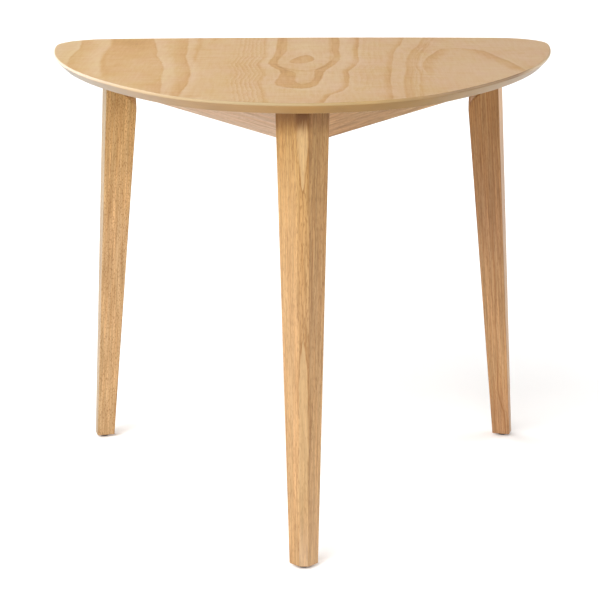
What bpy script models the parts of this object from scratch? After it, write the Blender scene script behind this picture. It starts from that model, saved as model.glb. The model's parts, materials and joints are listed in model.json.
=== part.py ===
"""Corner table: a rounded three-cornered top on three splayed and tapered legs.

The frame under the top is an equilateral triangle of three aprons. Each corner of that frame is
cut off flat, and a leg, whose inner corner is cut to the same flat, is pulled against it by two
hanger bolts that pass through a corner block.

Metres, +Z up, feet on z = 0, the front leg towards -Y. The origin is the middle of the footprint.
"""

from math import atan2, cos, pi, radians, sin, sqrt

import bmesh
import bpy
from mathutils import Matrix, Vector

# Overall sizes
TABLE_HEIGHT = 0.731
TOP_THICK = 0.0176
GAP = 0.0003  # left between pieces that touch
BEYOND = 0.01  # how far a cutter reaches past what it cuts

# Outline of the top about the centre of the leg triangle: three round corners joined by bowed sides
FRONT_RADIUS = 0.289
FRONT_Y = -0.1515
CORNER_RADIUS = 0.0967
CORNER_X = 0.3533
CORNER_Y = 0.2716
SIDE_BOW = 1.009
BACK_BOW = 5.4

# Edge of the top as (inset from the outline, drop below the top surface), from the top down
EDGE_PROFILE = (
    (0.0022, 0.0),
    (0.0010, 0.0004),
    (0.0003, 0.0012),
    (0.0, 0.0026),
    (0.0003, 0.0042),
    (0.0010, 0.0052),
    (0.0112, 0.0164),
    (0.0120, 0.0171),
    (0.0128, TOP_THICK),
)

# Legs: a straight bar of square section, one arris outward, measured at the foot and under the top
FOOT_SIDE = 0.0325
HEAD_SIDE = 0.0589
FOOT_REACH = 0.4348  # from the centre of the leg triangle to the middle of the foot
HEAD_REACH = 0.3747
FOOT_FACET = 0.0144  # width of the flat face that takes the outward arris off
HEAD_FACET = 0.0200
ARRIS = 0.0014
FOOT_EASE = 0.0018
FOOT_DRAW_IN = 0.00126
UNDERSIDE = TABLE_HEIGHT - TOP_THICK
HEAD_Z = UNDERSIDE - GAP

# Glides
GLIDE_HEIGHT = 0.0043
GLIDE_RADIUS = 0.0082
# how far the glide is drawn in at each height, from the floor up
GLIDE_PROFILE = ((0.0012, 0.0), (0.0003, 0.0007), (0.0, 0.0020), (0.0, GLIDE_HEIGHT))
FOOT_Z = GLIDE_HEIGHT + GAP
NAIL_RADIUS = 0.0011
NAIL_HEAD_RADIUS = 0.0028
NAIL_HEAD_LOW = 0.0011
NAIL_HEAD_HIGH = 0.0021
NAIL_TOP = 0.0240

# Aprons
APRON_FACE = 0.1949  # outer face from the centre of the leg triangle
APRON_THICK = 0.018
APRON_BOTTOM = 0.6591
APRON_EASE = 0.0008
APRON_INNER = APRON_FACE - APRON_THICK

# The flat on each leg's inner corner, and the curve that runs it out below the aprons
FLAT_REACH = 0.357
RUN_OUT_Z = 0.620
RUN_OUT_RADIUS = 0.050

# Corner blocks
BLOCK_NOSE = 0.345
BLOCK_BACK = 0.295
BLOCK_BOTTOM = 0.6640
BLOCK_TOP = 0.7100
BLOCK_EASE = 0.001

# Hanger bolts, washers and nuts
BOLT_RADIUS = 0.004
BOLT_HOLE = 0.0045
BOLT_LEVELS = (0.675, 0.699)
BOLT_TIP = 0.385
WASHER_RADIUS = 0.008
WASHER_THICK = 0.0016
NUT_ACROSS = 0.013
NUT_THICK = 0.0065
NUT_CHAMFER = 0.0008
BOLT_TAIL = 0.004  # stands out of the nut

# Screws through the corner blocks into the aprons
BLOCK_SCREW_LEVELS = {"lower": 0.672, "upper": 0.702}
BLOCK_SCREW_OFFSET = 0.0185  # from the middle of the block's back face
BLOCK_SCREW_SEAT = 0.006
BLOCK_SCREW_BITE = 0.0125
SCREW_RADIUS = 0.0019
SCREW_HEAD_RADIUS = 0.0038
SCREW_HEAD_THICK = 0.0024
# pan head as (share of the head radius, share of the head thickness), from its crown down
SCREW_HEAD_PROFILE = ((0.0, 1.0), (0.62, 0.93), (0.90, 0.62), (1.0, 0.25), (1.0, 0.0))
POCKET_RADIUS = 0.0046

# Pocket screws that hold the top to the aprons
TOP_SCREW_SPACING = 0.240
TOP_SCREW_TILT = radians(15)
TOP_SCREW_EXIT = 0.1862  # where the axis leaves the apron's upper edge
TOP_SCREW_SEAT = 0.012
TOP_SCREW_BITE = 0.0115
POCKET_DEPTH = 0.048

CORNERS = {"front": radians(-90), "back_right": radians(30), "back_left": radians(150)}
APRONS = {"back": radians(90), "front_right": radians(-30), "front_left": radians(210)}
HALF_CORNER = radians(60)  # between an apron's outward normal and the corner at its end

# Colour, roughness and metallic value of each finish
FINISHES = {
    "top_veneer": ((0.70, 0.48, 0.27, 1.0), 0.38, 0.0),
    "leg_wood": ((0.62, 0.38, 0.19, 1.0), 0.42, 0.0),
    "apron_wood": ((0.58, 0.36, 0.22, 1.0), 0.45, 0.0),
    "block_wood": ((0.66, 0.47, 0.28, 1.0), 0.60, 0.0),
    "zinc_steel": ((0.62, 0.62, 0.60, 1.0), 0.35, 1.0),
    "glide_plastic": ((0.05, 0.045, 0.04, 1.0), 0.50, 0.0),
}


def along_leg(z, at_foot, at_head):
    """A measure of the leg at a height, from its values at the foot and at the head."""
    return at_foot + (at_head - at_foot) * (z - FOOT_Z) / (HEAD_Z - FOOT_Z)


def leg_side(z):
    """Side of the leg's square section at a height."""
    return along_leg(z, FOOT_SIDE, HEAD_SIDE)


def leg_reach(z):
    """Distance of the leg's middle from the centre of the leg triangle at a height."""
    return along_leg(z, FOOT_REACH, HEAD_REACH)


def facet_distance(z):
    """Distance of the facet on the outer arris from the leg's middle at a height."""
    return leg_side(z) / sqrt(2) - along_leg(z, FOOT_FACET, HEAD_FACET) / 2


def inner_arris(z):
    """Distance of the leg's inner arris, before the flat is cut, from the same centre."""
    return leg_reach(z) - leg_side(z) / sqrt(2)


def arc(centre, radius, start, end, steps):
    """Points on an arc, without its last one, which the next arc begins with."""
    angles = [start + (end - start) * step / steps for step in range(steps)]
    return [centre + radius * Vector((cos(angle), sin(angle))) for angle in angles]


def bow_centre(start, start_radius, end, end_radius, bow):
    """Centre of the bowed side that runs smoothly from one round corner into the next."""
    first = bow - start_radius
    second = bow - end_radius
    span = end - start
    along = (first ** 2 - second ** 2 + span.length ** 2) / (2 * span.length)
    across = sqrt(first ** 2 - along ** 2)
    direction = span.normalized()
    inward = Vector((-direction.y, direction.x))
    return start + along * direction + across * inward


def heading(vector):
    """Direction of a flat vector as an angle from +X."""
    return atan2(vector.y, vector.x)


def turn_between(start, end):
    """The angle to reach from start, going anticlockwise to end."""
    return start + (end - start) % (2 * pi)


def top_outline(inset=0.0):
    """The outline of the top, anticlockwise, moved in by an inset."""
    corners = [
        (Vector((0.0, FRONT_Y)), FRONT_RADIUS, SIDE_BOW),
        (Vector((CORNER_X, CORNER_Y)), CORNER_RADIUS, BACK_BOW),
        (Vector((-CORNER_X, CORNER_Y)), CORNER_RADIUS, SIDE_BOW),
    ]
    steps = ((20, 16), (12, 10), (12, 16))
    bows = []
    for index, (centre, radius, bow) in enumerate(corners):
        after, after_radius, _ = corners[(index + 1) % 3]
        bows.append(bow_centre(centre, radius, after, after_radius, bow))
    points = []
    for index, (centre, radius, bow) in enumerate(corners):
        after = corners[(index + 1) % 3][0]
        corner_start = heading(centre - bows[index - 1])
        side_start = turn_between(corner_start, heading(centre - bows[index]))
        side_end = turn_between(side_start, heading(after - bows[index]))
        corner_steps, side_steps = steps[index]
        points += arc(centre, radius - inset, corner_start, side_start, corner_steps)
        points += arc(bows[index], bow - inset, side_start, side_end, side_steps)
    return points


def foot_front():
    """How far the outer facet of a foot reaches from the centre of the leg triangle."""
    z = FOOT_Z + FOOT_EASE
    return leg_reach(z) + facet_distance(z)


def centre_of_legs():
    """Where the centre of the leg triangle lies when the origin is the middle of the footprint."""
    back = max(point.y for point in top_outline())
    return Vector((0.0, (foot_front() - back) / 2, 0.0))


def loft(rings):
    """A closed solid through rings of equally many points, anticlockwise, from the bottom up."""
    bm = bmesh.new()
    made = [[bm.verts.new(point) for point in ring] for ring in rings]
    for lower, upper in zip(made, made[1:]):
        for index in range(len(lower)):
            after = (index + 1) % len(lower)
            bm.faces.new((lower[index], lower[after], upper[after], upper[index]))
    bm.faces.new(list(reversed(made[0])))
    bm.faces.new(made[-1])
    return bm


def prism(outline, bottom, top):
    """An upright solid over a flat outline."""
    rings = [[Vector((x, y, z)) for x, y in outline] for z in (bottom, top)]
    return loft(rings)


def turned(profile, sides=12):
    """A solid turned about Z from (radius, height) points, from the bottom up."""
    bm = bmesh.new()
    rings = []
    for radius, height in profile:
        if radius == 0:
            rings.append([bm.verts.new((0.0, 0.0, height))])
            continue
        angles = [2 * pi * side / sides for side in range(sides)]
        rings.append([bm.verts.new((radius * cos(a), radius * sin(a), height)) for a in angles])
    for lower, upper in zip(rings, rings[1:]):
        for index in range(sides):
            after = (index + 1) % sides
            if len(lower) == 1:
                bm.faces.new((lower[0], upper[after], upper[index]))
            elif len(upper) == 1:
                bm.faces.new((lower[index], lower[after], upper[0]))
            else:
                bm.faces.new((lower[index], lower[after], upper[after], upper[index]))
    if len(rings[0]) > 1:
        bm.faces.new(list(reversed(rings[0])))
    if len(rings[-1]) > 1:
        bm.faces.new(rings[-1])
    return bm


def rod(radius, bottom, top, sides=12):
    """A plain cylinder about Z."""
    return turned([(radius, bottom), (radius, top)], sides)


def aim(point, direction):
    """A matrix that puts a piece made about Z at a point, pointing in a direction."""
    turn = Vector(direction).to_track_quat("Z", "Y").to_matrix().to_4x4()
    return Matrix.Translation(point) @ turn


def moved(bm, matrix):
    """The same bmesh, moved."""
    bm.transform(matrix)
    return bm


def bevel_edges(bm, edges, width):
    """Ease some edges of a bmesh by a small chamfer."""
    bmesh.ops.bevel(bm, geom=edges, offset=width, segments=1, affect="EDGES")


def smooth(mesh):
    """Shade round faces smooth and keep the edges between flat faces sharp."""
    mesh.shade_smooth()
    mesh.set_sharp_from_angle(angle=radians(32))


def to_mesh(name, bm):
    """Store a bmesh as a mesh."""
    mesh = bpy.data.meshes.new(name)
    bm.to_mesh(mesh)
    bm.free()
    smooth(mesh)
    return mesh


def carve(name, body, cutters):
    """The mesh of a body after each cutter is taken out of it."""
    target = bpy.data.objects.new(name + "_blank", to_mesh(name + "_blank", body))
    bpy.context.scene.collection.objects.link(target)
    helpers = [target]
    for number, cutter in enumerate(cutters):
        label = f"{name}_cutter_{number}"
        tool = bpy.data.objects.new(label, to_mesh(label, cutter))
        tool.display_type = "WIRE"
        tool.hide_render = True
        bpy.context.scene.collection.objects.link(tool)
        helpers.append(tool)
        cut = target.modifiers.new(label, "BOOLEAN")
        cut.operation = "DIFFERENCE"
        cut.solver = "EXACT"
        cut.object = tool
    seen = target.evaluated_get(bpy.context.evaluated_depsgraph_get())
    mesh = bpy.data.meshes.new_from_object(seen)
    mesh.name = name
    for helper in helpers:
        bpy.data.objects.remove(helper)
    smooth(mesh)
    return mesh


def leg_section(z, inset=0.0):
    """The leg's section at a height, with +X outward: a square with its outer arris planed off."""
    half = leg_side(z) / 2
    # each face as the angle that it faces and its distance from the leg's middle
    faces = [(0.0, facet_distance(z))]
    faces += [(pi / 4 + quarter * pi / 2, half) for quarter in range(4)]
    faces.append((2 * pi, facet_distance(z)))
    steps = 2
    points = []
    for (start, first), (end, second) in zip(faces, faces[1:]):
        # the round's middle lies one radius inside both faces
        first -= ARRIS
        second -= ARRIS
        cross = sin(end - start)
        x = leg_reach(z) + (first * sin(end) - second * sin(start)) / cross
        y = (second * cos(start) - first * cos(end)) / cross
        for step in range(steps + 1):
            angle = start + (end - start) * step / steps
            radius = ARRIS - inset
            points.append(Vector((x + radius * cos(angle), y + radius * sin(angle), z)))
    return points


def flat_cutter():
    """What is cut from a leg's inner corner: a flat above, running out downward in a curve."""
    start = inner_arris(RUN_OUT_Z)
    rise = sqrt(RUN_OUT_RADIUS ** 2 - (RUN_OUT_RADIUS - (FLAT_REACH - start)) ** 2)
    steps = 10
    side_view = []
    for step in range(steps + 1):
        height = rise * step / steps
        depth = RUN_OUT_RADIUS - sqrt(RUN_OUT_RADIUS ** 2 - height ** 2)
        side_view.append((start + depth, RUN_OUT_Z + height))
    clear = start - HEAD_SIDE
    side_view += [(FLAT_REACH, TABLE_HEIGHT), (clear, TABLE_HEIGHT), (clear, RUN_OUT_Z)]
    rings = [[Vector((x, y, z)) for x, z in side_view] for y in (HEAD_SIDE, -HEAD_SIDE)]
    return loft(rings)


def leg_mesh():
    """A leg in its corner's frame, +X outward."""
    waist = FOOT_Z + FOOT_EASE
    # the lowest ring is drawn in, so that the foot's edges are eased
    foot = [Vector((p.x, p.y, FOOT_Z)) for p in leg_section(waist, FOOT_DRAW_IN)]
    blank = loft([foot, leg_section(waist), leg_section(HEAD_Z)])
    cutters = [flat_cutter()]
    for level in BOLT_LEVELS:
        start = Vector((BLOCK_NOSE, 0.0, level))
        length = BOLT_TIP + GAP * 2 - BLOCK_NOSE
        cutters.append(moved(rod(BOLT_RADIUS + GAP, 0.0, length, 16), aim(start, (1, 0, 0))))
    foot_centre = Vector((leg_reach(FOOT_Z), 0.0, 0.0))
    nail_hole = rod(NAIL_RADIUS + GAP, 0.0, NAIL_TOP + GAP * 2)
    cutters.append(moved(nail_hole, Matrix.Translation(foot_centre)))
    return carve("leg", blank, cutters)


def screw_positions():
    """Axes of a corner block's screws: name ending, mouth on the back face, direction."""
    found = []
    for side, sign in (("left", -1), ("right", 1)):
        direction = Vector((cos(HALF_CORNER), sign * sin(HALF_CORNER), 0.0))
        for level, z in BLOCK_SCREW_LEVELS.items():
            mouth = Vector((BLOCK_BACK, sign * BLOCK_SCREW_OFFSET, z))
            found.append((f"{side}_{level}", mouth, direction))
    return found


def screw_length():
    """Shank length of a block screw: through the rest of the block and into the apron."""
    mouth = Vector((BLOCK_BACK, BLOCK_SCREW_OFFSET))
    in_block = APRON_INNER - mouth.dot(Vector((cos(HALF_CORNER), sin(HALF_CORNER))))
    return in_block - BLOCK_SCREW_SEAT + BLOCK_SCREW_BITE


def screw_body(shank):
    """A pan-head wood screw: head at the origin's lower side, shank up +Z to a point."""
    tip = SCREW_RADIUS * 2
    head = [(SCREW_HEAD_RADIUS * out, -SCREW_HEAD_THICK * up) for out, up in SCREW_HEAD_PROFILE]
    return turned(head + [(SCREW_RADIUS, 0.0), (SCREW_RADIUS, shank - tip), (0.0, shank)])


def block_mesh():
    """A corner block in its corner's frame: a blunt wedge between two aprons' inner faces."""
    def half_width(reach):
        return (APRON_INNER - GAP - reach * cos(HALF_CORNER)) / sin(HALF_CORNER)

    nose = half_width(BLOCK_NOSE)
    back = half_width(BLOCK_BACK)
    outline = [(BLOCK_BACK, back), (BLOCK_BACK, -back), (BLOCK_NOSE, -nose), (BLOCK_NOSE, nose)]
    blank = prism(outline, BLOCK_BOTTOM, BLOCK_TOP)
    behind = [e for e in blank.edges if all(v.co.x < BLOCK_NOSE - GAP for v in e.verts)]
    bevel_edges(blank, behind, BLOCK_EASE)
    cutters = []
    for level in BOLT_LEVELS:
        start = Vector((BLOCK_BACK - BEYOND, 0.0, level))
        length = BLOCK_NOSE - BLOCK_BACK + 2 * BEYOND
        cutters.append(moved(rod(BOLT_HOLE, 0.0, length, 16), aim(start, (1, 0, 0))))
    for _, mouth, direction in screw_positions():
        bore = [
            (POCKET_RADIUS, -BEYOND),
            (POCKET_RADIUS, BLOCK_SCREW_SEAT),
            (SCREW_RADIUS + GAP, BLOCK_SCREW_SEAT),
            (SCREW_RADIUS + GAP, screw_length() + BEYOND),
        ]
        cutters.append(moved(turned(bore), aim(mouth, direction)))
    return carve("corner_block", blank, cutters)


def apron_outline():
    """An apron seen from above, +X outward: ends cut to the leg flats and mitred to each other."""
    corner = Vector((cos(HALF_CORNER), sin(HALF_CORNER)))
    flat = FLAT_REACH - GAP
    along_face = (flat - APRON_FACE * corner.x) / corner.y
    mitre = GAP / (2 * corner.x)
    point = Vector((flat * corner.x, flat * corner.y - mitre))
    along_inner = APRON_INNER * corner.y / corner.x - mitre
    half = [(APRON_FACE, along_face), (point.x, point.y), (APRON_INNER, along_inner)]
    return half + [(x, -y) for x, y in reversed(half)]


def pocket_axis(side):
    """Where a pocket screw's axis leaves the apron's upper edge, and its direction."""
    point = Vector((TOP_SCREW_EXIT, side * TOP_SCREW_SPACING / 2, UNDERSIDE))
    direction = Vector((sin(TOP_SCREW_TILT), 0.0, cos(TOP_SCREW_TILT)))
    return point, direction


def apron_mesh():
    """An apron in its own frame, +X outward and its length along Y."""
    blank = prism(apron_outline(), APRON_BOTTOM, HEAD_Z)
    low = [e for e in blank.edges if all(abs(v.co.z - APRON_BOTTOM) < 1e-6 for v in e.verts)]
    long_low = [e for e in low if abs(e.verts[0].co.x - e.verts[1].co.x) < 1e-6]
    bevel_edges(blank, long_low, APRON_EASE)
    cutters = []
    for end in (-1, 1):
        turn = Matrix.Rotation(end * HALF_CORNER, 4, "Z")
        for level in BOLT_LEVELS:
            along = aim(Vector((BLOCK_NOSE - BEYOND, 0.0, level)), (1, 0, 0))
            length = FLAT_REACH - BLOCK_NOSE + 2 * BEYOND
            cutters.append(moved(rod(BOLT_HOLE, 0.0, length, 16), turn @ along))
        for z in BLOCK_SCREW_LEVELS.values():
            mouth = turn @ Vector((BLOCK_BACK, -end * BLOCK_SCREW_OFFSET, z))
            depth = BLOCK_SCREW_SEAT + screw_length() + GAP
            cutters.append(moved(rod(SCREW_RADIUS + GAP, 0.0, depth), aim(mouth, (1, 0, 0))))
        point, direction = pocket_axis(end)
        bore = [
            (POCKET_RADIUS, -POCKET_DEPTH - TOP_SCREW_SEAT),
            (POCKET_RADIUS, -TOP_SCREW_SEAT),
            (SCREW_RADIUS + GAP, -TOP_SCREW_SEAT),
            (SCREW_RADIUS + GAP, BEYOND),
        ]
        cutters.append(moved(turned(bore), aim(point, direction)))
    return carve("apron", blank, cutters)


def top_mesh():
    """The top, about the centre of the leg triangle."""
    rings = []
    for inset, drop in reversed(EDGE_PROFILE):
        z = TABLE_HEIGHT - drop
        rings.append([Vector((p.x, p.y, z)) for p in top_outline(inset)])
    cutters = []
    for azimuth in APRONS.values():
        for side in (-1, 1):
            point, direction = pocket_axis(side)
            hole = rod(SCREW_RADIUS + GAP, -BEYOND, TOP_SCREW_BITE + GAP * 2)
            turn = Matrix.Rotation(azimuth, 4, "Z")
            cutters.append(moved(hole, turn @ aim(point, direction)))
    return carve("tabletop", loft(rings), cutters)


def bolt_mesh():
    """A hanger bolt about Z: nut end at the bottom, pointed wood thread at the top."""
    tail = BLOCK_BACK - WASHER_THICK - NUT_THICK - BOLT_TAIL
    length = BOLT_TIP - tail
    tip = BOLT_RADIUS * 2
    profile = [
        (BOLT_RADIUS * 0.8, 0.0),
        (BOLT_RADIUS, BOLT_RADIUS * 0.25),
        (BOLT_RADIUS, length - tip),
        (0.0, length),
    ]
    return to_mesh("hanger_bolt", moved(turned(profile, 14), aim((tail, 0, 0), (1, 0, 0))))


def washer_mesh():
    """A washer against the corner block's back face."""
    base = BLOCK_BACK - GAP - WASHER_THICK
    disc = moved(rod(WASHER_RADIUS, 0.0, WASHER_THICK - GAP, 20), aim((base, 0, 0), (1, 0, 0)))
    hole = moved(rod(BOLT_RADIUS + GAP, -BEYOND, BEYOND, 14), aim((base, 0, 0), (1, 0, 0)))
    return carve("washer", disc, [hole])


def nut_mesh():
    """A hexagon nut against the washer."""
    base = BLOCK_BACK - WASHER_THICK - GAP * 2 - NUT_THICK
    corner = NUT_ACROSS / sqrt(3)
    profile = [
        (corner - NUT_CHAMFER, 0.0),
        (corner, NUT_CHAMFER),
        (corner, NUT_THICK - GAP - NUT_CHAMFER),
        (corner - NUT_CHAMFER, NUT_THICK - GAP),
    ]
    body = moved(turned(profile, 6), aim((base, 0, 0), (1, 0, 0)))
    hole = moved(rod(BOLT_RADIUS + GAP, -BEYOND, NUT_THICK + BEYOND, 14), aim((base, 0, 0), (1, 0, 0)))
    return carve("nut", body, [hole])


def glide_mesh():
    """A glide, about its own axis: a low disc with its nail's head sunk in the underside."""
    disc = turned([(GLIDE_RADIUS - inset, z) for inset, z in GLIDE_PROFILE], 24)
    bore = turned(
        [
            (NAIL_HEAD_RADIUS + GAP, -BEYOND),
            (NAIL_HEAD_RADIUS + GAP, NAIL_HEAD_HIGH + GAP),
            (NAIL_RADIUS + GAP, NAIL_HEAD_HIGH + GAP),
            (NAIL_RADIUS + GAP, GLIDE_HEIGHT + BEYOND),
        ],
        14,
    )
    return carve("glide", disc, [bore])


def nail_mesh():
    """The nail of a glide, about its own axis."""
    tip = NAIL_RADIUS * 2.5
    return to_mesh(
        "glide_nail",
        turned(
            [
                (NAIL_HEAD_RADIUS, NAIL_HEAD_LOW),
                (NAIL_HEAD_RADIUS, NAIL_HEAD_HIGH),
                (NAIL_RADIUS, NAIL_HEAD_HIGH),
                (NAIL_RADIUS, NAIL_TOP - tip),
                (0.0, NAIL_TOP),
            ],
            14,
        ),
    )


def make_finishes():
    """One Principled material for each finish."""
    made = {}
    for name, (colour, roughness, metallic) in FINISHES.items():
        material = bpy.data.materials.new(name)
        material.use_nodes = True
        shader = material.node_tree.nodes["Principled BSDF"]
        shader.inputs["Base Color"].default_value = colour
        shader.inputs["Roughness"].default_value = roughness
        shader.inputs["Metallic"].default_value = metallic
        material.diffuse_color = colour
        made[name] = material
    return made


class Table:
    """Places pieces about the centre of the leg triangle."""

    def __init__(self):
        self.finishes = make_finishes()
        self.centre = bpy.data.objects.new("leg_triangle_centre", None)
        self.centre.location = centre_of_legs()
        bpy.context.scene.collection.objects.link(self.centre)

    def place(self, name, mesh, finish, azimuth=0.0, offset=(0.0, 0.0, 0.0)):
        """Put a mesh down, turned about the centre, at an offset in its turned frame."""
        if not mesh.materials:
            mesh.materials.append(self.finishes[finish])
        piece = bpy.data.objects.new(name, mesh)
        piece.parent = self.centre
        piece.location = Matrix.Rotation(azimuth, 3, "Z") @ Vector(offset)
        piece.rotation_euler = (0.0, 0.0, azimuth)
        bpy.context.scene.collection.objects.link(piece)
        return piece


def build_top(table):
    """The top, square to the table."""
    table.place("tabletop", top_mesh(), "top_veneer")


def build_aprons(table):
    """The three aprons and the pocket screws that hold the top to them."""
    mesh = apron_mesh()
    shank = TOP_SCREW_SEAT + TOP_SCREW_BITE
    screws = {}
    for side, sign in (("left", -1), ("right", 1)):
        point, direction = pocket_axis(sign)
        seat = point - direction * (TOP_SCREW_SEAT + GAP)
        screws[side] = to_mesh(f"top_screw_{side}", moved(screw_body(shank), aim(seat, direction)))
    for place, azimuth in APRONS.items():
        table.place(f"apron_{place}", mesh, "apron_wood", azimuth)
        for side, screw in screws.items():
            table.place(f"top_screw_{place}_{side}", screw, "zinc_steel", azimuth)


def build_corner_blocks(table):
    """The three corner blocks with four screws each."""
    mesh = block_mesh()
    screws = {}
    for ending, mouth, direction in screw_positions():
        seat = mouth + direction * (BLOCK_SCREW_SEAT - GAP)
        body = moved(screw_body(screw_length()), aim(seat, direction))
        screws[ending] = to_mesh(f"block_screw_{ending}", body)
    for place, azimuth in CORNERS.items():
        table.place(f"corner_block_{place}", mesh, "block_wood", azimuth)
        for ending, screw in screws.items():
            table.place(f"block_screw_{place}_{ending}", screw, "zinc_steel", azimuth)


def build_legs(table):
    """The three legs with their glides."""
    leg = leg_mesh()
    glide = glide_mesh()
    nail = nail_mesh()
    under_foot = (leg_reach(FOOT_Z), 0.0, 0.0)
    for place, azimuth in CORNERS.items():
        table.place(f"leg_{place}", leg, "leg_wood", azimuth)
        table.place(f"glide_{place}", glide, "glide_plastic", azimuth, under_foot)
        table.place(f"glide_nail_{place}", nail, "zinc_steel", azimuth, under_foot)


def build_leg_bolts(table):
    """Two hanger bolts in each corner, with their washers and nuts."""
    bolt = bolt_mesh()
    washer = washer_mesh()
    nut = nut_mesh()
    for place, azimuth in CORNERS.items():
        for level, z in zip(("lower", "upper"), BOLT_LEVELS):
            up = (0.0, 0.0, z)
            table.place(f"hanger_bolt_{place}_{level}", bolt, "zinc_steel", azimuth, up)
            table.place(f"hanger_washer_{place}_{level}", washer, "zinc_steel", azimuth, up)
            table.place(f"hanger_nut_{place}_{level}", nut, "zinc_steel", azimuth, up)


def main():
    for piece in list(bpy.data.objects):
        bpy.data.objects.remove(piece)
    table = Table()
    build_top(table)
    build_aprons(table)
    build_corner_blocks(table)
    build_legs(table)
    build_leg_bolts(table)


main()
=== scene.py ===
"""The corner table's finished look: veneered top, lacquered hardwood legs and aprons, zinc fittings.

Every wooden piece is made again with rounder edges, in a frame of its own whose Z runs along the
grain, so that one wood shader serves them all. Metres, +Z up, the front leg towards -Y.
"""

import json
from math import atan, atan2, cos, pi, radians, sin, sqrt, tan
from typing import NamedTuple

import bmesh
import bpy
from mathutils import Matrix, Vector

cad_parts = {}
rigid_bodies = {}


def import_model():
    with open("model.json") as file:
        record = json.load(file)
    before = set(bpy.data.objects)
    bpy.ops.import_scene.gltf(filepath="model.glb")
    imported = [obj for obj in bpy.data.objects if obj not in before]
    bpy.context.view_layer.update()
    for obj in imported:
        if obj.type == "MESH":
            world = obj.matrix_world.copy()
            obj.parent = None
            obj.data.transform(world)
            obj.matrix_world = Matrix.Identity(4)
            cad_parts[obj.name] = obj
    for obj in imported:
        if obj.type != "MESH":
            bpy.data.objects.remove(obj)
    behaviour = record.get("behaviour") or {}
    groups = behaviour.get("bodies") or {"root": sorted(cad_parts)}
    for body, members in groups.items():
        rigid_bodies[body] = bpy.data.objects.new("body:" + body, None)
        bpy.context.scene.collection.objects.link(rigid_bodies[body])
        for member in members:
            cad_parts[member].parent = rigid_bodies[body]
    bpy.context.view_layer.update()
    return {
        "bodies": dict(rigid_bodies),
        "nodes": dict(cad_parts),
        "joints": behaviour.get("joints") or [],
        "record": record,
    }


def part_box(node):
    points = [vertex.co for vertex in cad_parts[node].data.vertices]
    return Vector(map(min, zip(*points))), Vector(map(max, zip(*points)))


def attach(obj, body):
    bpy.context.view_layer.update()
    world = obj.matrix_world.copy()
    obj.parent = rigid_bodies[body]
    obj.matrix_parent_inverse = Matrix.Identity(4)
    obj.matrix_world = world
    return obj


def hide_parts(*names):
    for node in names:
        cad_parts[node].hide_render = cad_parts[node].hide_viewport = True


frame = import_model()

GAP = 0.0003  # between pieces that touch
MM = 0.001

# What the frame gives
TOP_LOW, TOP_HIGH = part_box("tabletop")
FOOT_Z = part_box("leg_front")[0].z
HEAD_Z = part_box("leg_front")[1].z
APRON_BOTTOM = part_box("apron_back")[0].z
BLOCK_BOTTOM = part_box("corner_block_front")[0].z
BLOCK_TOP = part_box("corner_block_front")[1].z
GLIDE_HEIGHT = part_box("glide_front")[1].z

# Outline of the top about the centre of the leg triangle
FRONT_RADIUS = 0.289
FRONT_Y = -0.1515
CORNER_RADIUS = 0.0967
CORNER_X = 0.3533
CORNER_Y = 0.2716
SIDE_BOW = 1.009
BACK_BOW = 5.4

# Section of its edge: a flat nose over an undercut that runs back to the underside
NOSE_HEIGHT = 0.0043
UNDERCUT = 0.0128
TOP_ARRIS = 0.0024
NOSE_ROUND = 0.0035
LOW_ARRIS = 0.0016

# Legs
FOOT_SIDE = 0.0325
HEAD_SIDE = 0.0589
FOOT_REACH = 0.4348
HEAD_REACH = 0.3747
FOOT_FACET = 0.0144
HEAD_FACET = 0.0200
ARRIS = 0.0014
FOOT_EASE = 0.0018
FLAT_REACH = 0.357
RUN_OUT_Z = 0.620
RUN_OUT_RADIUS = 0.050

# Aprons and corner blocks
APRON_FACE = 0.1949
APRON_THICK = 0.018
APRON_INNER = APRON_FACE - APRON_THICK
APRON_EASE = 0.0008
BLOCK_NOSE = 0.345
BLOCK_BACK = 0.295
BLOCK_EASE = 0.001

# Fittings
BOLT_RADIUS = 0.004
BOLT_PITCH = 0.00125
BOLT_HOLE = 0.0045
BOLT_LEVELS = {"lower": 0.675, "upper": 0.699}
BOLT_TIP = 0.385
BOLT_TAIL = 0.004
WASHER_RADIUS = 0.008
WASHER_THICK = 0.0016
NUT_ACROSS = 0.013
NUT_THICK = 0.0065
BLOCK_SCREW_LEVELS = {"lower": 0.672, "upper": 0.702}
BLOCK_SCREW_OFFSET = 0.0185
BLOCK_SCREW_SEAT = 0.006
BLOCK_SCREW_BITE = 0.0125
SCREW_RADIUS = 0.0019
SCREW_PITCH = 0.0020
SCREW_HEAD_RADIUS = 0.0038
SCREW_HEAD_THICK = 0.0024
POCKET_RADIUS = 0.0046
POCKET_DEPTH = 0.048
TOP_SCREW_SPACING = 0.240
TOP_SCREW_TILT = radians(15)
TOP_SCREW_EXIT = 0.1862
TOP_SCREW_SEAT = 0.012
TOP_SCREW_BITE = 0.0115
GLIDE_RADIUS = 0.0082
NAIL_RADIUS = 0.0011
NAIL_HEAD_RADIUS = 0.0028
NAIL_HEAD_LOW = 0.0011
NAIL_HEAD_HIGH = 0.0021
NAIL_TOP = 0.0240

CORNERS = {"front": radians(-90), "back_right": radians(30), "back_left": radians(150)}
APRONS = {"back": radians(90), "front_right": radians(-30), "front_left": radians(210)}
HALF_CORNER = radians(60)
BEYOND = 0.01  # how far a cutter reaches past what it cuts
OUTWARD = (1.0, 0.0, 0.0)
UNMOVED = (0.0, 0.0, 0.0)


def centre_of_legs():
    """The middle of the three glides, on the floor."""
    boxes = [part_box(f"glide_{place}") for place in CORNERS]
    middle = sum((low + high for low, high in boxes), Vector()) / (2 * len(boxes))
    return Vector((middle.x, middle.y, 0.0))


CENTRE = centre_of_legs()

WHITE = (1.0, 1.0, 1.0)
CURVE_SHIFT = 0.5  # added to lengths that may be negative, because a curve node works from 0 to 1


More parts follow.
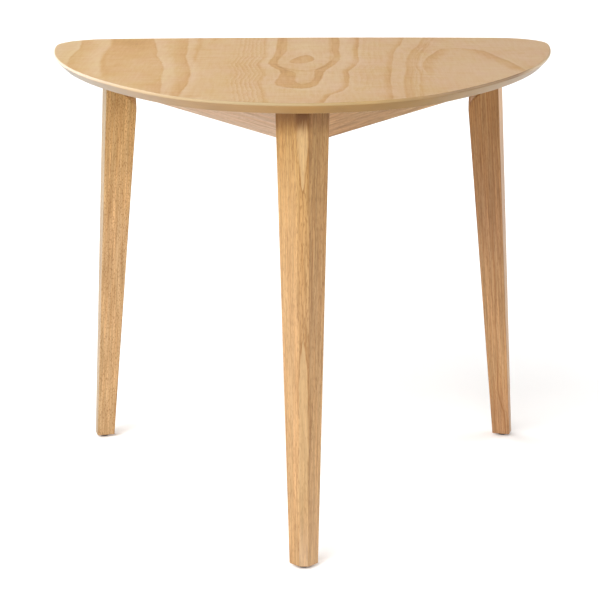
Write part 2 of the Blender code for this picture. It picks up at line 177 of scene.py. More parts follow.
class Nodes:
    """A node tree under construction. Its methods add nodes and return their output."""

    def __init__(self, owner):
        owner.use_nodes = True
        self.tree = owner.node_tree

    def node(self, kind, **settings):
        made = self.tree.nodes.new(kind)
        for name, value in settings.items():
            setattr(made, name, value)
        return made

    def feed(self, socket, value):
        """Give a socket a value, or the output of another node."""
        if isinstance(value, bpy.types.NodeSocket):
            self.tree.links.new(value, socket)
        else:
            socket.default_value = value

    def fed(self, made, *values):
        """The output of a node whose inputs are given values in turn."""
        for socket, value in zip(made.inputs, values):
            self.feed(socket, value)
        return made.outputs[0]

    def math(self, operation, *values):
        return self.fed(self.node("ShaderNodeMath", operation=operation), *values)


class Shade(Nodes):
    """A material under construction."""

    def __init__(self, name, roughness, metallic=0.0, specular=0.5):
        self.material = bpy.data.materials.new(name)
        super().__init__(self.material)
        self.surface = self.tree.nodes["Principled BSDF"]
        self.surface.inputs["Roughness"].default_value = roughness
        self.surface.inputs["Metallic"].default_value = metallic
        self.surface.inputs["Specular IOR Level"].default_value = specular

    def place(self, frame=None):
        """The point on the surface, in the object's frame or in one given by a matrix."""
        point = self.node("ShaderNodeTexCoord").outputs["Object"]
        if frame is None:
            return point
        inward = frame.inverted()
        made = self.node("ShaderNodeMapping", vector_type="POINT")
        return self.fed(made, point, inward.translation, inward.to_euler())

    def product(self, first, *others):
        """Values multiplied."""
        for value in others:
            first = self.math("MULTIPLY", first, value)
        return first

    def apart(self, first, second):
        """The distance between two values."""
        return self.math("ABSOLUTE", self.math("SUBTRACT", first, second))

    def stir(self, value, noise, reach):
        """A value that a noise moves to and fro, by half a reach each way."""
        return self.math("MULTIPLY_ADD", noise, reach, self.math("SUBTRACT", value, reach / 2))

    def split(self, point):
        made = self.node("ShaderNodeSeparateXYZ")
        self.feed(made.inputs[0], point)
        return made.outputs[0], made.outputs[1], made.outputs[2]

    def join(self, x, y, z):
        return self.fed(self.node("ShaderNodeCombineXYZ"), x, y, z)

    def stretch(self, point, scale, offset=UNMOVED):
        return self.fed(self.node("ShaderNodeVectorMath", operation="MULTIPLY_ADD"), point, scale, offset)

    def noise(self, point, scale, offset=UNMOVED, detail=2.0, roughness=0.5, distortion=0.0):
        """A noise that changes as fast along each axis as its scale says."""
        made = self.node("ShaderNodeTexNoise", noise_dimensions="3D")
        for name, value in (("Vector", self.stretch(point, scale, offset)), ("Scale", 1.0),
                            ("Detail", detail), ("Roughness", roughness), ("Distortion", distortion)):
            self.feed(made.inputs[name], value)
        return made.outputs[0]

    def remap(self, value, low, high, new_low=0.0, new_high=1.0, smooth=False):
        interpolation = "SMOOTHSTEP" if smooth else "LINEAR"
        made = self.node("ShaderNodeMapRange", clamp=True, interpolation_type=interpolation)
        return self.fed(made, value, low, high, new_low, new_high)

    def ramp(self, value, stops, interpolation="LINEAR"):
        """A colour or grey between the (position, colour or grey) stops on both sides of a value."""
        made = self.node("ShaderNodeValToRGB")
        made.color_ramp.interpolation = interpolation
        elements = made.color_ramp.elements
        while len(elements) < len(stops):
            elements.new(0.5)
        for element, (position, colour) in zip(elements, stops):
            element.position = position
            element.color = (*colour, 1.0) if isinstance(colour, tuple) else (colour,) * 3 + (1.0,)
        return self.fed(made, value)

    def curve(self, value, lengths, shift=0.0):
        """A length, with CURVE_SHIFT added, read off {place: length} in millimetres.

        The shift is what the value has added to it.
        """
        made = self.node("ShaderNodeFloatCurve")
        line = made.mapping.curves[0]
        while len(line.points) < len(lengths):
            line.points.new(0.5, 0.5)
        for point, (place, length) in zip(line.points, lengths.items()):
            point.location = (place * MM + shift, length * MM + CURVE_SHIFT)
            point.handle_type = "VECTOR"
        made.mapping.update()
        self.feed(made.inputs["Value"], value)
        return made.outputs[0]

    def mix(self, factor, first, second, blend_type="MIX"):
        made = self.node("ShaderNodeMix", data_type="RGBA", blend_type=blend_type)
        for index, value in ((0, factor), (6, first), (7, second)):
            if isinstance(value, tuple):
                value = (*value, 1.0)
            self.feed(made.inputs[index], value)
        return made.outputs[2]

    def tint(self, colour, tint, share=None):
        """A colour times a tint, or times as much of it as its share says."""
        if share is not None:
            tint = self.mix(share, WHITE, tint)
        return self.mix(1.0, colour, tint, "MULTIPLY")

    def darken(self, colour, value):
        """A colour times a grey value."""
        made = self.node("ShaderNodeVectorMath", operation="SCALE")
        self.feed(made.inputs[0], colour)
        self.feed(made.inputs["Scale"], value)
        return made.outputs[0]

    def finish(self, colour, height, distance, strength, roughness=None):
        """Wire colour, relief and roughness to the surface."""
        self.feed(self.surface.inputs["Base Color"], colour)
        bump = self.node("ShaderNodeBump")
        bump.inputs["Strength"].default_value = strength
        bump.inputs["Distance"].default_value = distance
        self.feed(bump.inputs["Height"], height)
        self.feed(self.surface.inputs["Normal"], bump.outputs[0])
        if roughness is not None:
            self.feed(self.surface.inputs["Roughness"], roughness)
        return self.material


# Camera, as the photograph was taken, about the centre of the legs
CAMERA_DISTANCE = 3.262
CAMERA_HEIGHT = 1.1597
CAMERA_PITCH = 0.2524
CAMERA_PAN = 0.0016
CAMERA_ROLL = 0.0034
FOCAL_PIXELS = 1930.4
IMAGE_WIDTH = 600
SENSOR_WIDTH = 36.0
NEAREST = 0.05
FARTHEST = 200.0


def add_object(name, data):
    """A new object in the scene."""
    made = bpy.data.objects.new(name, data)
    bpy.context.scene.collection.objects.link(made)
    return made


def make_camera():
    """The camera at the photograph's place."""
    data = bpy.data.cameras.new("camera")
    data.sensor_width = SENSOR_WIDTH
    data.lens = FOCAL_PIXELS / IMAGE_WIDTH * SENSOR_WIDTH
    data.clip_start = NEAREST
    data.clip_end = FARTHEST
    camera = add_object("camera", data)
    spin = Matrix.Rotation(CAMERA_PAN, 4, "Z")
    pitch = Matrix.Rotation(pi / 2 - CAMERA_PITCH, 4, "X")
    roll = Matrix.Rotation(-CAMERA_ROLL, 4, "Z")
    place = CENTRE + Vector((0.0, -CAMERA_DISTANCE, CAMERA_HEIGHT))
    camera.matrix_world = Matrix.Translation(place) @ spin @ pitch @ roll
    bpy.context.scene.camera = camera


# Stage: far soft boxes as the way to them and strength, and a sky that is brighter to the right
SKY_EVEN = 0.25
SKY_RIGHT = 0.75
SKY_RIGHT_FALL = 2.0
LAMP_ANGLE = radians(50)
LAMPS = {
    "key": (Vector((-2.6, -2.6, 3.4)), 1.75),
    "front_fill": (Vector((-1.7, -4.2, 2.9)), 1.90),
    "left_rim": (Vector((-3.4, 2.6, 2.0)), 1.70),
    "right_rim": (Vector((3.6, 1.8, 1.2)), 1.40),
}
SQUARE = ((-1, -1), (1, -1), (1, 1), (-1, 1))
FLOOR_HALF = 30.0
FLOOR_COLOUR = (0.98, 0.98, 0.98, 1.0)


def make_sky():
    """A dim white room whose right-hand side is bright."""
    world = bpy.data.worlds.new("studio")
    sky = Nodes(world)
    background = sky.tree.nodes["Background"]
    background.inputs["Color"].default_value = (*WHITE, 1.0)
    facing = sky.node("ShaderNodeVectorMath", operation="DOT_PRODUCT")
    sky.fed(facing, sky.node("ShaderNodeTexCoord").outputs["Generated"], OUTWARD)
    strength = sky.math("POWER", sky.math("MAXIMUM", facing.outputs["Value"], 0.0), SKY_RIGHT_FALL)
    strength = sky.math("MULTIPLY_ADD", strength, SKY_RIGHT, SKY_EVEN)
    sky.feed(background.inputs["Strength"], strength)
    bpy.context.scene.world = world


def make_lamps():
    """Soft lights so far away that they light the floor evenly."""
    for name, (toward, strength) in LAMPS.items():
        data = bpy.data.lights.new(name, "SUN")
        data.angle = LAMP_ANGLE
        data.energy = strength
        lamp = add_object(name, data)
        lamp.rotation_euler = toward.to_track_quat("Z", "Y").to_euler()


def make_floor():
    """A plain white floor."""
    bm = bmesh.new()
    bm.faces.new([bm.verts.new((x * FLOOR_HALF, y * FLOOR_HALF, 0.0)) for x, y in SQUARE])
    mesh = bpy.data.meshes.new("floor")
    bm.to_mesh(mesh)
    bm.free()
    paint = Shade("floor_paint", roughness=0.9)
    paint.surface.inputs["Base Color"].default_value = FLOOR_COLOUR
    mesh.materials.append(paint.material)
    add_object("floor", mesh)


WHOLE = -1000  # where a line begins that runs the whole way
CRISP = 1.8

# Growth lines of the top's veneer, in millimetres. Each is {y: x} from front to back, then the depth of
# tone and the distance at which it has faded out on its left and on its right, the y where it begins,
# and how soft the line itself is. A negative depth is paler than the ground.
GROWTH_LINES = (
    ({-60: -385, 30: -395, 130: -402, 270: -400, 400: -408}, (-0.25, 14), (0.50, 34), WHOLE, 4.0),
    ({-200: -310, -120: -320, -30: -331, 60: -340, 170: -347, 300: -345, 400: -352},
     (-0.40, 36), (0.50, 85), -140, 9.0),
    ({-300: -218, -200: -222, -100: -229, -20: -232, 80: -244, 150: -258, 220: -259, 300: -267,
      400: -278}, (0.45, 85), (-0.38, 30), WHOLE, 3.5),
    ({-300: -187, -200: -183, -100: -182, -40: -187, 40: -195, 130: -204, 200: -205, 280: -209,
      400: -213}, (0.55, 30), (-0.30, 20), WHOLE, 3.5),
    ({-50: -178, 50: -181, 170: -187, 270: -187, 400: -189}, (0.30, 8), (0.40, 8), 30, CRISP),
    ({200: -172, 290: -169, 400: -160}, (0.30, 10), (0.25, 12), 270, CRISP),
    ({-400: -56, -300: -61, -170: -71, -90: -64, 35: -77, 140: -66, 220: -69, 400: -71},
     (0.20, 6), (0.45, 9), WHOLE, CRISP),
    ({-370: 34, -320: 40, -280: 60, -220: 71, -140: 76, -60: 74.5, -30: 80, 20: 90, 70: 95, 150: 96,
      300: 100, 400: 106}, (0.75, 12), (-0.20, 12), WHOLE, 2.5),
    ({-330: 136, -200: 139, -120: 141, -30: 148, 20: 150, 100: 155, 180: 161, 260: 169, 310: 179,
      400: 189}, (0.50, 14), (-0.14, 24), WHOLE, 2.5),
    ({-320: 158, -230: 161, -130: 166, -30: 174, 40: 177, 100: 181, 170: 190, 240: 200, 290: 213,
      400: 228}, (-0.10, 16), (0.40, 20), WHOLE, 4.0),
    ({-300: 180, -200: 186, -80: 192, 20: 190, 120: 195, 200: 209, 300: 226, 400: 245},
     (-0.15, 8), (0.30, 10), WHOLE, 2.5),
)
SERRATED_LINE = GROWTH_LINES[6][0]
RIGHT_OF_EYE = GROWTH_LINES[7][0]
FAR_RIGHT_LINE = GROWTH_LINES[9][0]

# Closed growth rings: {y: (left x, right x)} from front to back, with left over right where the ring
# is shut, then depth and fade outside and inside, and the y where the ring begins
GROWTH_RINGS = (
    ({-300: (30, -40), -252: (0, 0), -245: (-20, 10), -220: (-37.5, 22), -180: (-41, 27),
      -140: (-37.5, 30), -80: (-34, 32.5), -40: (-37.5, 39), 0: (-47.5, 48), 35: (-56, 55),
      90: (-54, 64), 130: (-50, 65), 220: (-46, 64), 400: (-44, 68)},
     (-0.30, 45), (0.74, 85), WHOLE),
    ({-250: (30, -30), -206: (2, 2), -200: (-4, 8), -180: (-11, 17), -140: (-12.5, 21),
      -80: (-12.5, 21), -50: (-22, 22), -30: (-30, 26), 20: (-44, 40), 80: (-44, 52), 130: (-40, 57),
      220: (-28, 55), 400: (-30, 57.5)}, (0.0, 4), (-0.58, 85), WHOLE),
    ({-100: (30, -30), -47: (0, 0), -40: (-16, 16), -20: (-30, 30), 0: (-38, 36), 60: (-44, 47),
      160: (-40, 50), 400: (-36, 52)}, (0.25, 6), (-0.05, 12), WHOLE),
    ({0: (20, -40), 38: (-10, -10), 50: (-18, 6), 70: (-20, 16), 100: (-16, 20), 140: (-2, 16),
      155: (8, 8), 200: (40, -30)}, (-0.22, 10), (0.74, 50), WHOLE),
    ({-120: (208, 372), -50: (203, 366), 20: (204, 358), 70: (208.6, 350), 120: (217, 339),
      160: (228.6, 331), 205: (240, 321), 235: (250, 297), 245: (276, 276), 300: (310, 250)},
     (-0.22, 14), (0.60, 30), -90),
)
RING_BLUR = 3.5

# The thin dark line that closes the innermost ring in front, as {x: y}, and between which distances
# from its middle it ends
CLOSING_LINE = {-70: 85, -56: 51, -42: 17, -26: -28, -7: -53, 13: -54, 30: -29, 47: 28, 59: 81, 70: 120}
CLOSING_SIDES = ((0.10, 12), (0.35, 16))
CLOSING_MIDDLE = 0.002
CLOSING_ENDS = (0.045, 0.062)
LINE_BEGIN = 60
LINE_CREST = 0.20

# Close parallel lines beside a growth line: from and to which distance from it, depth, pitch, and
# how much more ragged than the line they are
FINE_LINES = (
    (SERRATED_LINE, -0.056, 0.006, 1.15, 0.0074, 0.004),
    (RIGHT_OF_EYE, 0.006, 0.050, 0.35, 0.0095, 0.0),
    (FAR_RIGHT_LINE, 0.000, 0.030, 0.60, 0.0080, 0.0),
)
FINE_LINE = [(0.0, 1.0), (0.15, 0.80), (0.5, 0.45), (0.8, 0.25), (0.92, 0.0), (1.0, 1.0)]
FINE_GROUND = 0.4
FINE_EASE = 0.25

# Noises that move the figure: how far the lines sway, how ragged they are across and along, and how
# far behind its points the figure lies
SWAY = 0.008
RAG_ACROSS = 0.0055
RAG_ALONG = 0.020
FIGURE_BACK = 0.0018

# Noises that add to the figure: scale, offset, detail, then from which noise to which it adds what
VENEER_LAYERS = {
    "patches": ((6.0, 3.0, 0.0), (1.3, 5.7, 0.0), 2.0, (0.3, 0.7, 0.05, 0.45)),
    "flecks": ((4.0, 55.0, 0.0), UNMOVED, 3.0, (0.25, 0.75, -0.13, 0.13)),
    "wisps": ((22.0, 48.0, 0.0), (2.6, 7.4, 0.0), 2.0, (0.3, 0.7, -0.14, 0.14)),
    "rays": ((14.0, 240.0, 0.0), UNMOVED, 2.0, (0.3, 0.7, -0.20, 0.20)),
    "dots": ((600.0, 110.0, 0.0), UNMOVED, 1.0, (0.3, 0.7, -0.12, 0.12)),
    "streaks": ((170.0, 16.0, 0.0), (6.1, 3.9, 0.0), 2.0, (0.3, 0.7, -0.20, 0.20)),
    "fibres": ((420.0, 9.0, 0.0), UNMOVED, 3.0, (0.25, 0.75, -0.12, 0.12)),
}
FIGURE_FADE = (0.3, 0.7, 0.65, 1.15)
HALF_WIDTH = 0.45

# Tone of the veneer from its palest figure to its darkest, and its tint from left to right, which is mostly
# painted shade: the top darkens towards the right, away from the light
VENEER_TONES = [
    (0.0, (0.73, 0.545, 0.38)),
    (0.25, (0.69, 0.480, 0.308)),
    (0.50, (0.650, 0.418, 0.222)),
    (0.75, (0.600, 0.350, 0.150)),
    (1.0, (0.49, 0.268, 0.110)),
]
VENEER_TINTS_AND_PAINTED_SHADE = [(0.0, (0.92, 0.955, 0.83)), (0.10, (0.92, 0.895, 0.74)), (1.0, (0.72, 0.70, 0.65))]


def line_profile(shade, away, left, right, blur=CRISP):
    """Tone on both sides of a growth line, given the distance from it and (depth, fade) of each side."""
    reach = left[1] + right[1]
    zero = left[1] / reach
    crest = max(left[0], right[0]) + LINE_CREST
    share = shade.math("MULTIPLY_ADD", away, 1 / (reach * MM), zero)
    tone = shade.ramp(share, [
        (0.0, 0.5),
        (zero - blur / reach, 0.5 + left[0] / 2),
        (zero, min(0.5 + crest / 2, 1.0)),
        (zero + blur / reach, 0.5 + right[0] / 2),
        (1.0, 0.5),
    ], "EASE")
    return shade.math("MULTIPLY_ADD", tone, 2.0, -1.0)


def beside_curve(shade, across, along, line):
    """Distance from a line given as {along: across}. Both places have CURVE_SHIFT added."""
    return shade.math("SUBTRACT", across, shade.curve(along, line, CURVE_SHIFT))


def growth_figure(shade, across, along):
    """Depth of tone of all the growth lines and rings. Both places have CURVE_SHIFT added."""
    def add(total, tone, start):
        begun = shade.remap(along, start * MM + CURVE_SHIFT, (start + LINE_BEGIN) * MM + CURVE_SHIFT)
        return shade.math("MULTIPLY_ADD", tone, begun, total)

    total = 0.0
    for line, left, right, start, blur in GROWTH_LINES:
        away = beside_curve(shade, across, along, line)
        total = add(total, line_profile(shade, away, left, right, blur), start)
    for ring, outside, inside, start in GROWTH_RINGS:
        middle = {y: (left + right) / 2 for y, (left, right) in ring.items()}
        half = shade.curve(along, {y: (right - left) / 2 for y, (left, right) in ring.items()}, CURVE_SHIFT)
        aside = shade.math("ABSOLUTE", beside_curve(shade, across, along, middle))
        away = shade.math("SUBTRACT", shade.math("SUBTRACT", half, CURVE_SHIFT), aside)
        total = add(total, line_profile(shade, away, outside, inside, RING_BLUR), start)
    closing = line_profile(shade, beside_curve(shade, along, across, CLOSING_LINE), *CLOSING_SIDES)
    aside = shade.apart(across, CLOSING_MIDDLE + CURVE_SHIFT)
    return shade.math("ADD", total, shade.product(closing, shade.remap(aside, *CLOSING_ENDS, 1.0, 0.0)))


def fine_lines(shade, across, along, line, first, last, depth, pitch):
    """Close parallel growth lines beside another, from one distance from it to another."""
    away = beside_curve(shade, across, along, line)
    phase = shade.math("FRACT", shade.math("DIVIDE", away, pitch))
    tone = shade.math("SUBTRACT", shade.ramp(phase, FINE_LINE), FINE_GROUND)
    ease = (last - first) * FINE_EASE
    near = shade.remap(away, first, first + ease)
    far = shade.remap(away, last - ease, last, 1.0, 0.0)
    return shade.product(tone, depth, near, far)


def veneer_material():
    """Rotary-cut veneer: growth lines along Y, an eye with its rings, fine streaks across."""
    shade = Shade("top_veneer", roughness=0.42)
    point = shade.place()
    x, y, _ = shade.split(point)
    sway = shade.noise(point, (7.0, 6.0, 0.0), (3.1, 0.7, 0.0), detail=1.0)
    ragged = shade.noise(point, (45.0, 42.0, 0.0), detail=3.0, roughness=0.6)
    across = shade.stir(shade.math("ADD", x, CURVE_SHIFT), sway, SWAY)
    across = shade.stir(across, ragged, RAG_ACROSS)
    along = shade.stir(shade.math("ADD", y, CURVE_SHIFT + FIGURE_BACK), ragged, RAG_ALONG)
    figure = growth_figure(shade, across, along)
    for *row, rag in FINE_LINES:
        place = shade.stir(across, ragged, rag) if rag else across
        figure = shade.math("ADD", figure, fine_lines(shade, place, along, *row))
    fade = shade.noise(point, (16.0, 7.0, 0.0), (8.3, 2.2, 0.0))
    figure = shade.product(figure, shade.remap(fade, *FIGURE_FADE))
    layers = {}
    for name, (scale, offset, detail, steps) in VENEER_LAYERS.items():
        layers[name] = shade.noise(point, scale, offset, detail)
        figure = shade.math("ADD", figure, shade.remap(layers[name], *steps))
    tone = shade.ramp(shade.math("MULTIPLY_ADD", figure, 0.5, 0.25), VENEER_TONES)
    # painted shade: the tint darkens the veneer towards the right
    tone = shade.tint(tone, shade.ramp(shade.remap(x, -HALF_WIDTH, HALF_WIDTH), VENEER_TINTS_AND_PAINTED_SHADE))
    blush = shade.noise(point, (22.0, 9.0, 0.0), (4.4, 9.1, 0.0), detail=3.0)
    tone = shade.tint(tone, shade.mix(shade.remap(blush, 0.35, 0.65), (1.0, 1.01, 0.95), (1.01, 0.985, 1.04)))
    return shade.finish(tone, layers["fibres"], distance=0.00004, strength=0.15)


# The lipping's colour on its nose and below it, from the left end of the top (0) to its right end (1), with
# painted light in it: a painted highlight on the nose at the left end, and painted shade below the nose at
# the far left and on both towards the right end
NOSE_TONES_AND_PAINTED_LIGHT = [
    (0.0, (0.78, 0.68, 0.52)),
    (0.10, (0.62, 0.47, 0.33)),
    (0.19, (0.54, 0.385, 0.225)),
    (0.39, (0.39, 0.290, 0.160)),
    (0.50, (0.39, 0.280, 0.145)),
    (0.61, (0.41, 0.272, 0.120)),
    (0.72, (0.32, 0.198, 0.093)),
    (0.77, (0.25, 0.152, 0.070)),
    (0.84, (0.215, 0.120, 0.042)),
    (0.89, (0.195, 0.095, 0.025)),
    (0.93, (0.44, 0.31, 0.17)),
]
LOW_EDGE_TONES_AND_PAINTED_LIGHT = [
    (0.02, (0.190, 0.157, 0.108)),
    (0.05, (0.230, 0.171, 0.115)),
    (0.08, (0.295, 0.226, 0.150)),
    (0.12, (0.335, 0.244, 0.152)),
    (0.22, (0.350, 0.225, 0.117)),
    (0.50, (0.34, 0.192, 0.068)),
    (0.70, (0.26, 0.148, 0.045)),
    (0.87, (0.265, 0.162, 0.062)),
    (0.92, (0.225, 0.135, 0.050)),
    (0.98, (0.175, 0.097, 0.036)),
]
NOSE_SOFT = 0.001

# Towards the back edge the lipping's painted light gives way to one plain tone: between these y, by this much
PLAIN_EDGE = (0.42, 0.285, 0.155)
PLAIN_EDGE_STEPS = (0.29, 0.35, 0.0, 0.8)


def edge_material():
    """The solid lipping round the top, paler on its nose than below, with fine layers; painted highlight and
    painted shade run along it.
    """
    shade = Shade("top_edge", roughness=0.34, specular=0.15)
    point = shade.place()
    x, y, height = shade.split(point)
    cloud = shade.noise(point, (14.0, 14.0, 60.0), detail=3.0)
    layers = shade.noise(point, (4.0, 4.0, 900.0))
    border = TOP_HIGH.z - NOSE_HEIGHT
    nose = shade.remap(height, border - NOSE_SOFT, border + NOSE_SOFT)
    across = shade.remap(x, -HALF_WIDTH, HALF_WIDTH)
    # the nose and undercut tones carry painted highlight and painted shade from left to right
    tone = shade.mix(nose, shade.ramp(across, LOW_EDGE_TONES_AND_PAINTED_LIGHT), shade.ramp(across, NOSE_TONES_AND_PAINTED_LIGHT))
    tone = shade.mix(shade.remap(y, *PLAIN_EDGE_STEPS), tone, PLAIN_EDGE)
    tone = shade.darken(tone, shade.remap(cloud, 0.3, 0.7, 0.93, 1.07))
    tone = shade.darken(tone, shade.remap(layers, 0.3, 0.7, 0.96, 1.04))
    return shade.finish(tone, layers, distance=0.00003, strength=0.2)


def underside_material():
    """The plain veneer under the top."""
    shade = Shade("top_underside", roughness=0.55)
    point = shade.place()
    bands = shade.noise(point, (26.0, 1.6, 1.0), detail=4.0, distortion=0.3)
    fibres = shade.noise(point, (500.0, 10.0, 1.0), detail=3.0)
    tone = shade.mix(shade.remap(bands, 0.35, 0.65), (0.50, 0.33, 0.19), (0.58, 0.41, 0.25))
    tone = shade.darken(tone, shade.remap(fibres, 0.25, 0.75, 0.93, 1.07))
    return shade.finish(tone, fibres, distance=0.00004, strength=0.2)


# Marks of a leg or an apron, laid over its wood in turn: "tint" multiplies it by a colour and "paint"
# covers it with one, as far as the product of the masks says. Some marks are the wood's own and some
# are painted light, painted shade or painted sheen, as their names say. A mask is a place on the piece,
# two values of it, and the mask's own value at each (0 and 1 where none is given). The piece's own frame
# has z along the grain, from the foot up or along the apron.
LEG_LENGTH = 0.711
WARM_HEAD = ("tint", (1.0, 0.97, 0.73), ("z", 0.40, LEG_LENGTH))
THIN_LINE = (0.22, 0.10, 0.03)
WINDING_LINE = (0.24, 0.10, 0.03)
LEFT_LEG_MARKS = {
    "warm head": WARM_HEAD,
    "darker foot": ("tint", (0.92, 0.92, 0.92), ("z", 0.0, 0.12, 1.0, 0.0)),
    # painted shade: the left leg's head darker where the top shades it
    "painted shade under the top": ("tint", (0.90, 0.90, 0.90), ("z", 0.60, 0.70)),
    # painted sheen: the outer face tinted cooler and greyer, as its sheen makes it look
    "painted cool sheen on outer face": ("tint", (0.78, 0.87, 1.00), ("x", -0.002, 0.002)),
}
FRONT_LEG_MARKS = {
    "warm head": WARM_HEAD,
    "darker foot": ("tint", (0.92, 0.92, 0.92), ("z", 0.0, 0.15, 1.0, 0.0)),
    # painted shade: the right face darker and redder towards the head, under the top
    "painted shade on right face": ("tint", (0.59, 0.53, 0.53), ("y", 0.007, 0.012), ("z", 0.30, 0.68, 0.0, 0.35)),
    "flame": ("paint", (0.57, 0.405, 0.215), ("in_flame", 0.0, 1.0, 0.0, 0.42), ("z", 0.05, 0.30, 0.4, 1.0)),
    "pale foot": ("paint", (0.68, 0.53, 0.41), ("within", 0.0, 0.001, 0.0, 0.17),
                  ("z", 0.02, 0.09, 1.0, 0.0)),
    "rim of the flame": ("paint", THIN_LINE, ("off_rim", 0.0002, 0.0009, 0.5, 0.0),
                         ("slant", 0.63, 0.66, 1.0, 0.0), ("z", 0.27, 0.33)),
    # painted shade: a thin dark line along the arris at the facet's right edge
    "arris": ("paint", THIN_LINE, ("off_arris", 0.0004, 0.0012, 0.26, 0.0), ("z", 0.25, 0.45),
              ("z", 0.61, 0.64, 1.0, 2.2)),
    "lit lower right": ("paint", (0.66, 0.44, 0.25), ("rough_y", 0.006, 0.010), ("z", 0.0, 0.22, 0.30, 0.0)),
    "lit left": ("paint", (0.70, 0.48, 0.27), ("rough_y", -0.014, -0.003, 0.12, 0.0),
                 ("z", 0.55, 0.68, 1.0, 0.0), ("z", 0.05, 0.25, 0.2, 1.0)),
    # partly the wood's darker head, partly painted shade under the top's front edge: dark brown, darkest on
    # the facet, redder brown on the left face
    "brown head and painted shade": ("paint", (0.115, 0.034, 0.003), ("rough_z", 0.688, 0.716, 0.0, 1.0, True),
                   ("aside", 0.006, 0.014, 0.88, 0.38)),
    "left head brown and painted shade": ("paint", (0.22, 0.085, 0.015), ("rough_y", -0.016, -0.008, 1.0, 0.0),
                        ("z", 0.668, 0.702, 0.0, 0.52)),
}
RIGHT_LEG_MARKS = {
    "warm head": WARM_HEAD,
    "darker foot": ("tint", (0.90, 0.90, 0.90), ("z", 0.03, 0.12, 1.0, 0.0)),
    "darker upwards": ("tint", (0.84, 0.84, 0.84), ("z", 0.10, 0.52, 0.125, 1.0)),
    "golden middle": ("tint", (1.03, 1.09, 1.08), ("z", 0.05, 0.12), ("z", 0.30, 0.42, 1.0, 0.0)),
    # painted sheen and painted highlight: the outer face paler and greyer, brighter still towards the head
    "painted pale sheen on outer face": ("tint", (1.03, 1.07, 1.09), ("x", -0.002, 0.002)),
    "painted highlight on outer head": ("tint", (1.26, 1.26, 1.26), ("x", -0.002, 0.002), ("z", 0.50, 0.64)),
    "long line": ("paint", WINDING_LINE, ("off_long_line", 0.0004, 0.0015, 0.60, 0.0),
                  ("z", 0.25, 0.60, 1.0, 0.0)),
    "short line": ("paint", WINDING_LINE, ("off_short_line", 0.0004, 0.0015, 0.50, 0.0),
                   ("z", 0.06, 0.13, 1.0, 0.0)),
    # painted light: the planed inner flat painted paler, as if lit
    "painted light on inner flat": ("paint", (0.62, 0.47, 0.34), ("planed", 0.005, 0.008), ("x", -0.010, -0.006, 0.70, 0.0)),
}
LEFT_APRON_MARKS = {"darker to the front": ("tint", (0.925, 0.925, 0.925), ("z", 0.09, 0.18))}
RIGHT_APRON_MARKS = {"redder to the back": ("tint", (0.88, 0.93, 0.94), ("z", -0.24, -0.10))}

# Half width of the front leg's pale flame at heights up the leg, in millimetres; where it is negative
# there is no flame
FLAME = {0: 7.2, 275: 7.5, 310: 6.5, 335: 4.5, 355: 2.0, 372: -3, 575: -3, 600: 3.0, 625: 5.2,
         650: 9.8, 670: 11.0, 700: 10}
FLAME_SOFT = (0.60, 0.66, 0.0010, 0.0045)
RIM_OUTSIDE = 0.0003
FLAME_SLANT = -3.0
FRONT_RAG = 0.006
FRONT_RAG_UP = 0.04

# The right leg's winding lines, as {height: place across its front} in millimetres
LONG_LINE = {0: -18.2, 42: -18.2, 70: -13.5, 91: -11.6, 155: -15.2, 218: -15.2, 292: -18.2,
             397: -19.7, 524: -25.7, 700: -30.0}
SHORT_LINE = {0: -4.5, 30: -4.5, 50: -5.5, 110: -7.5, 200: -8.0}


def front_leg_places(shade, places):
    """Places on the front leg beside x, y and z: about its flame, its arris and its ragged head."""
    y = places["y"]
    z = places["z"]
    ragged = shade.noise(shade.join(y, 0.0, z), (420.0, 0.0, 25.0))
    rough_y = shade.stir(y, ragged, FRONT_RAG)
    aside = shade.math("ABSOLUTE", rough_y)
    within = shade.math("SUBTRACT", shade.math("SUBTRACT", shade.curve(z, FLAME), CURVE_SHIFT), aside)
    arris = shade.remap(z, 0.0, LEG_LENGTH, FOOT_FACET / 2, HEAD_FACET / 2)
    return {
        "rough_y": rough_y,
        "rough_z": shade.math("MULTIPLY_ADD", ragged, FRONT_RAG_UP, z),
        "aside": aside,
        "within": within,
        "in_flame": shade.math("DIVIDE", within, shade.remap(z, *FLAME_SOFT)),
        "off_rim": shade.math("ABSOLUTE", shade.math("ADD", within, RIM_OUTSIDE)),
        "slant": shade.math("MULTIPLY_ADD", rough_y, FLAME_SLANT, z),
        "off_arris": shade.apart(rough_y, arris),
    }


def right_leg_places(shade, places):
    """Places on the right leg beside x, y and z: about its winding lines and its planed inner flat."""
    x = places["x"]
    y = places["y"]
    z = places["z"]

    def off_line(line):
        return shade.apart(y, shade.math("SUBTRACT", shade.curve(z, line), CURVE_SHIFT))

    growth = (HEAD_SIDE - FOOT_SIDE) / (HEAD_Z - FOOT_Z)
    half = shade.math("MULTIPLY_ADD", z, growth / sqrt(2), FOOT_SIDE / sqrt(2))
    planed = shade.math("SUBTRACT", shade.math("ADD", half, x), shade.math("ABSOLUTE", y))
    return {"off_long_line": off_line(LONG_LINE), "off_short_line": off_line(SHORT_LINE), "planed": planed}


def lay_marks(shade, tone, marks, places):
    """A tone with marks laid over it, painted light and shade among them."""
    for kind, colour, *masks in marks.values():
        share = shade.product(*[shade.remap(places[name], *steps) for name, *steps in masks])
        if kind == "tint":
            tone = shade.tint(tone, colour, share)
        else:
            tone = shade.mix(share, tone, colour)
    return tone


class Wood(NamedTuple):
    """A piece's own wood: colours, where its rings come from, and what is marked on it."""

    light: tuple
    dark: tuple
    pore: tuple
    pith: tuple  # x and y of the rings' middle at the start of the grain
    slope: tuple  # how the middle moves in x and y along the grain
    start: float  # where along the grain the piece begins
    ring: float = 0.0042  # width of a ring
    pores: float = 1.0  # how strong the pores are
    figure: float = 0.30  # how strong the rings are
    dash: float = 100.0  # pores in a metre of grain
    marks: dict = None
    more_places: object = None  # a function that gives the marks more places to go by


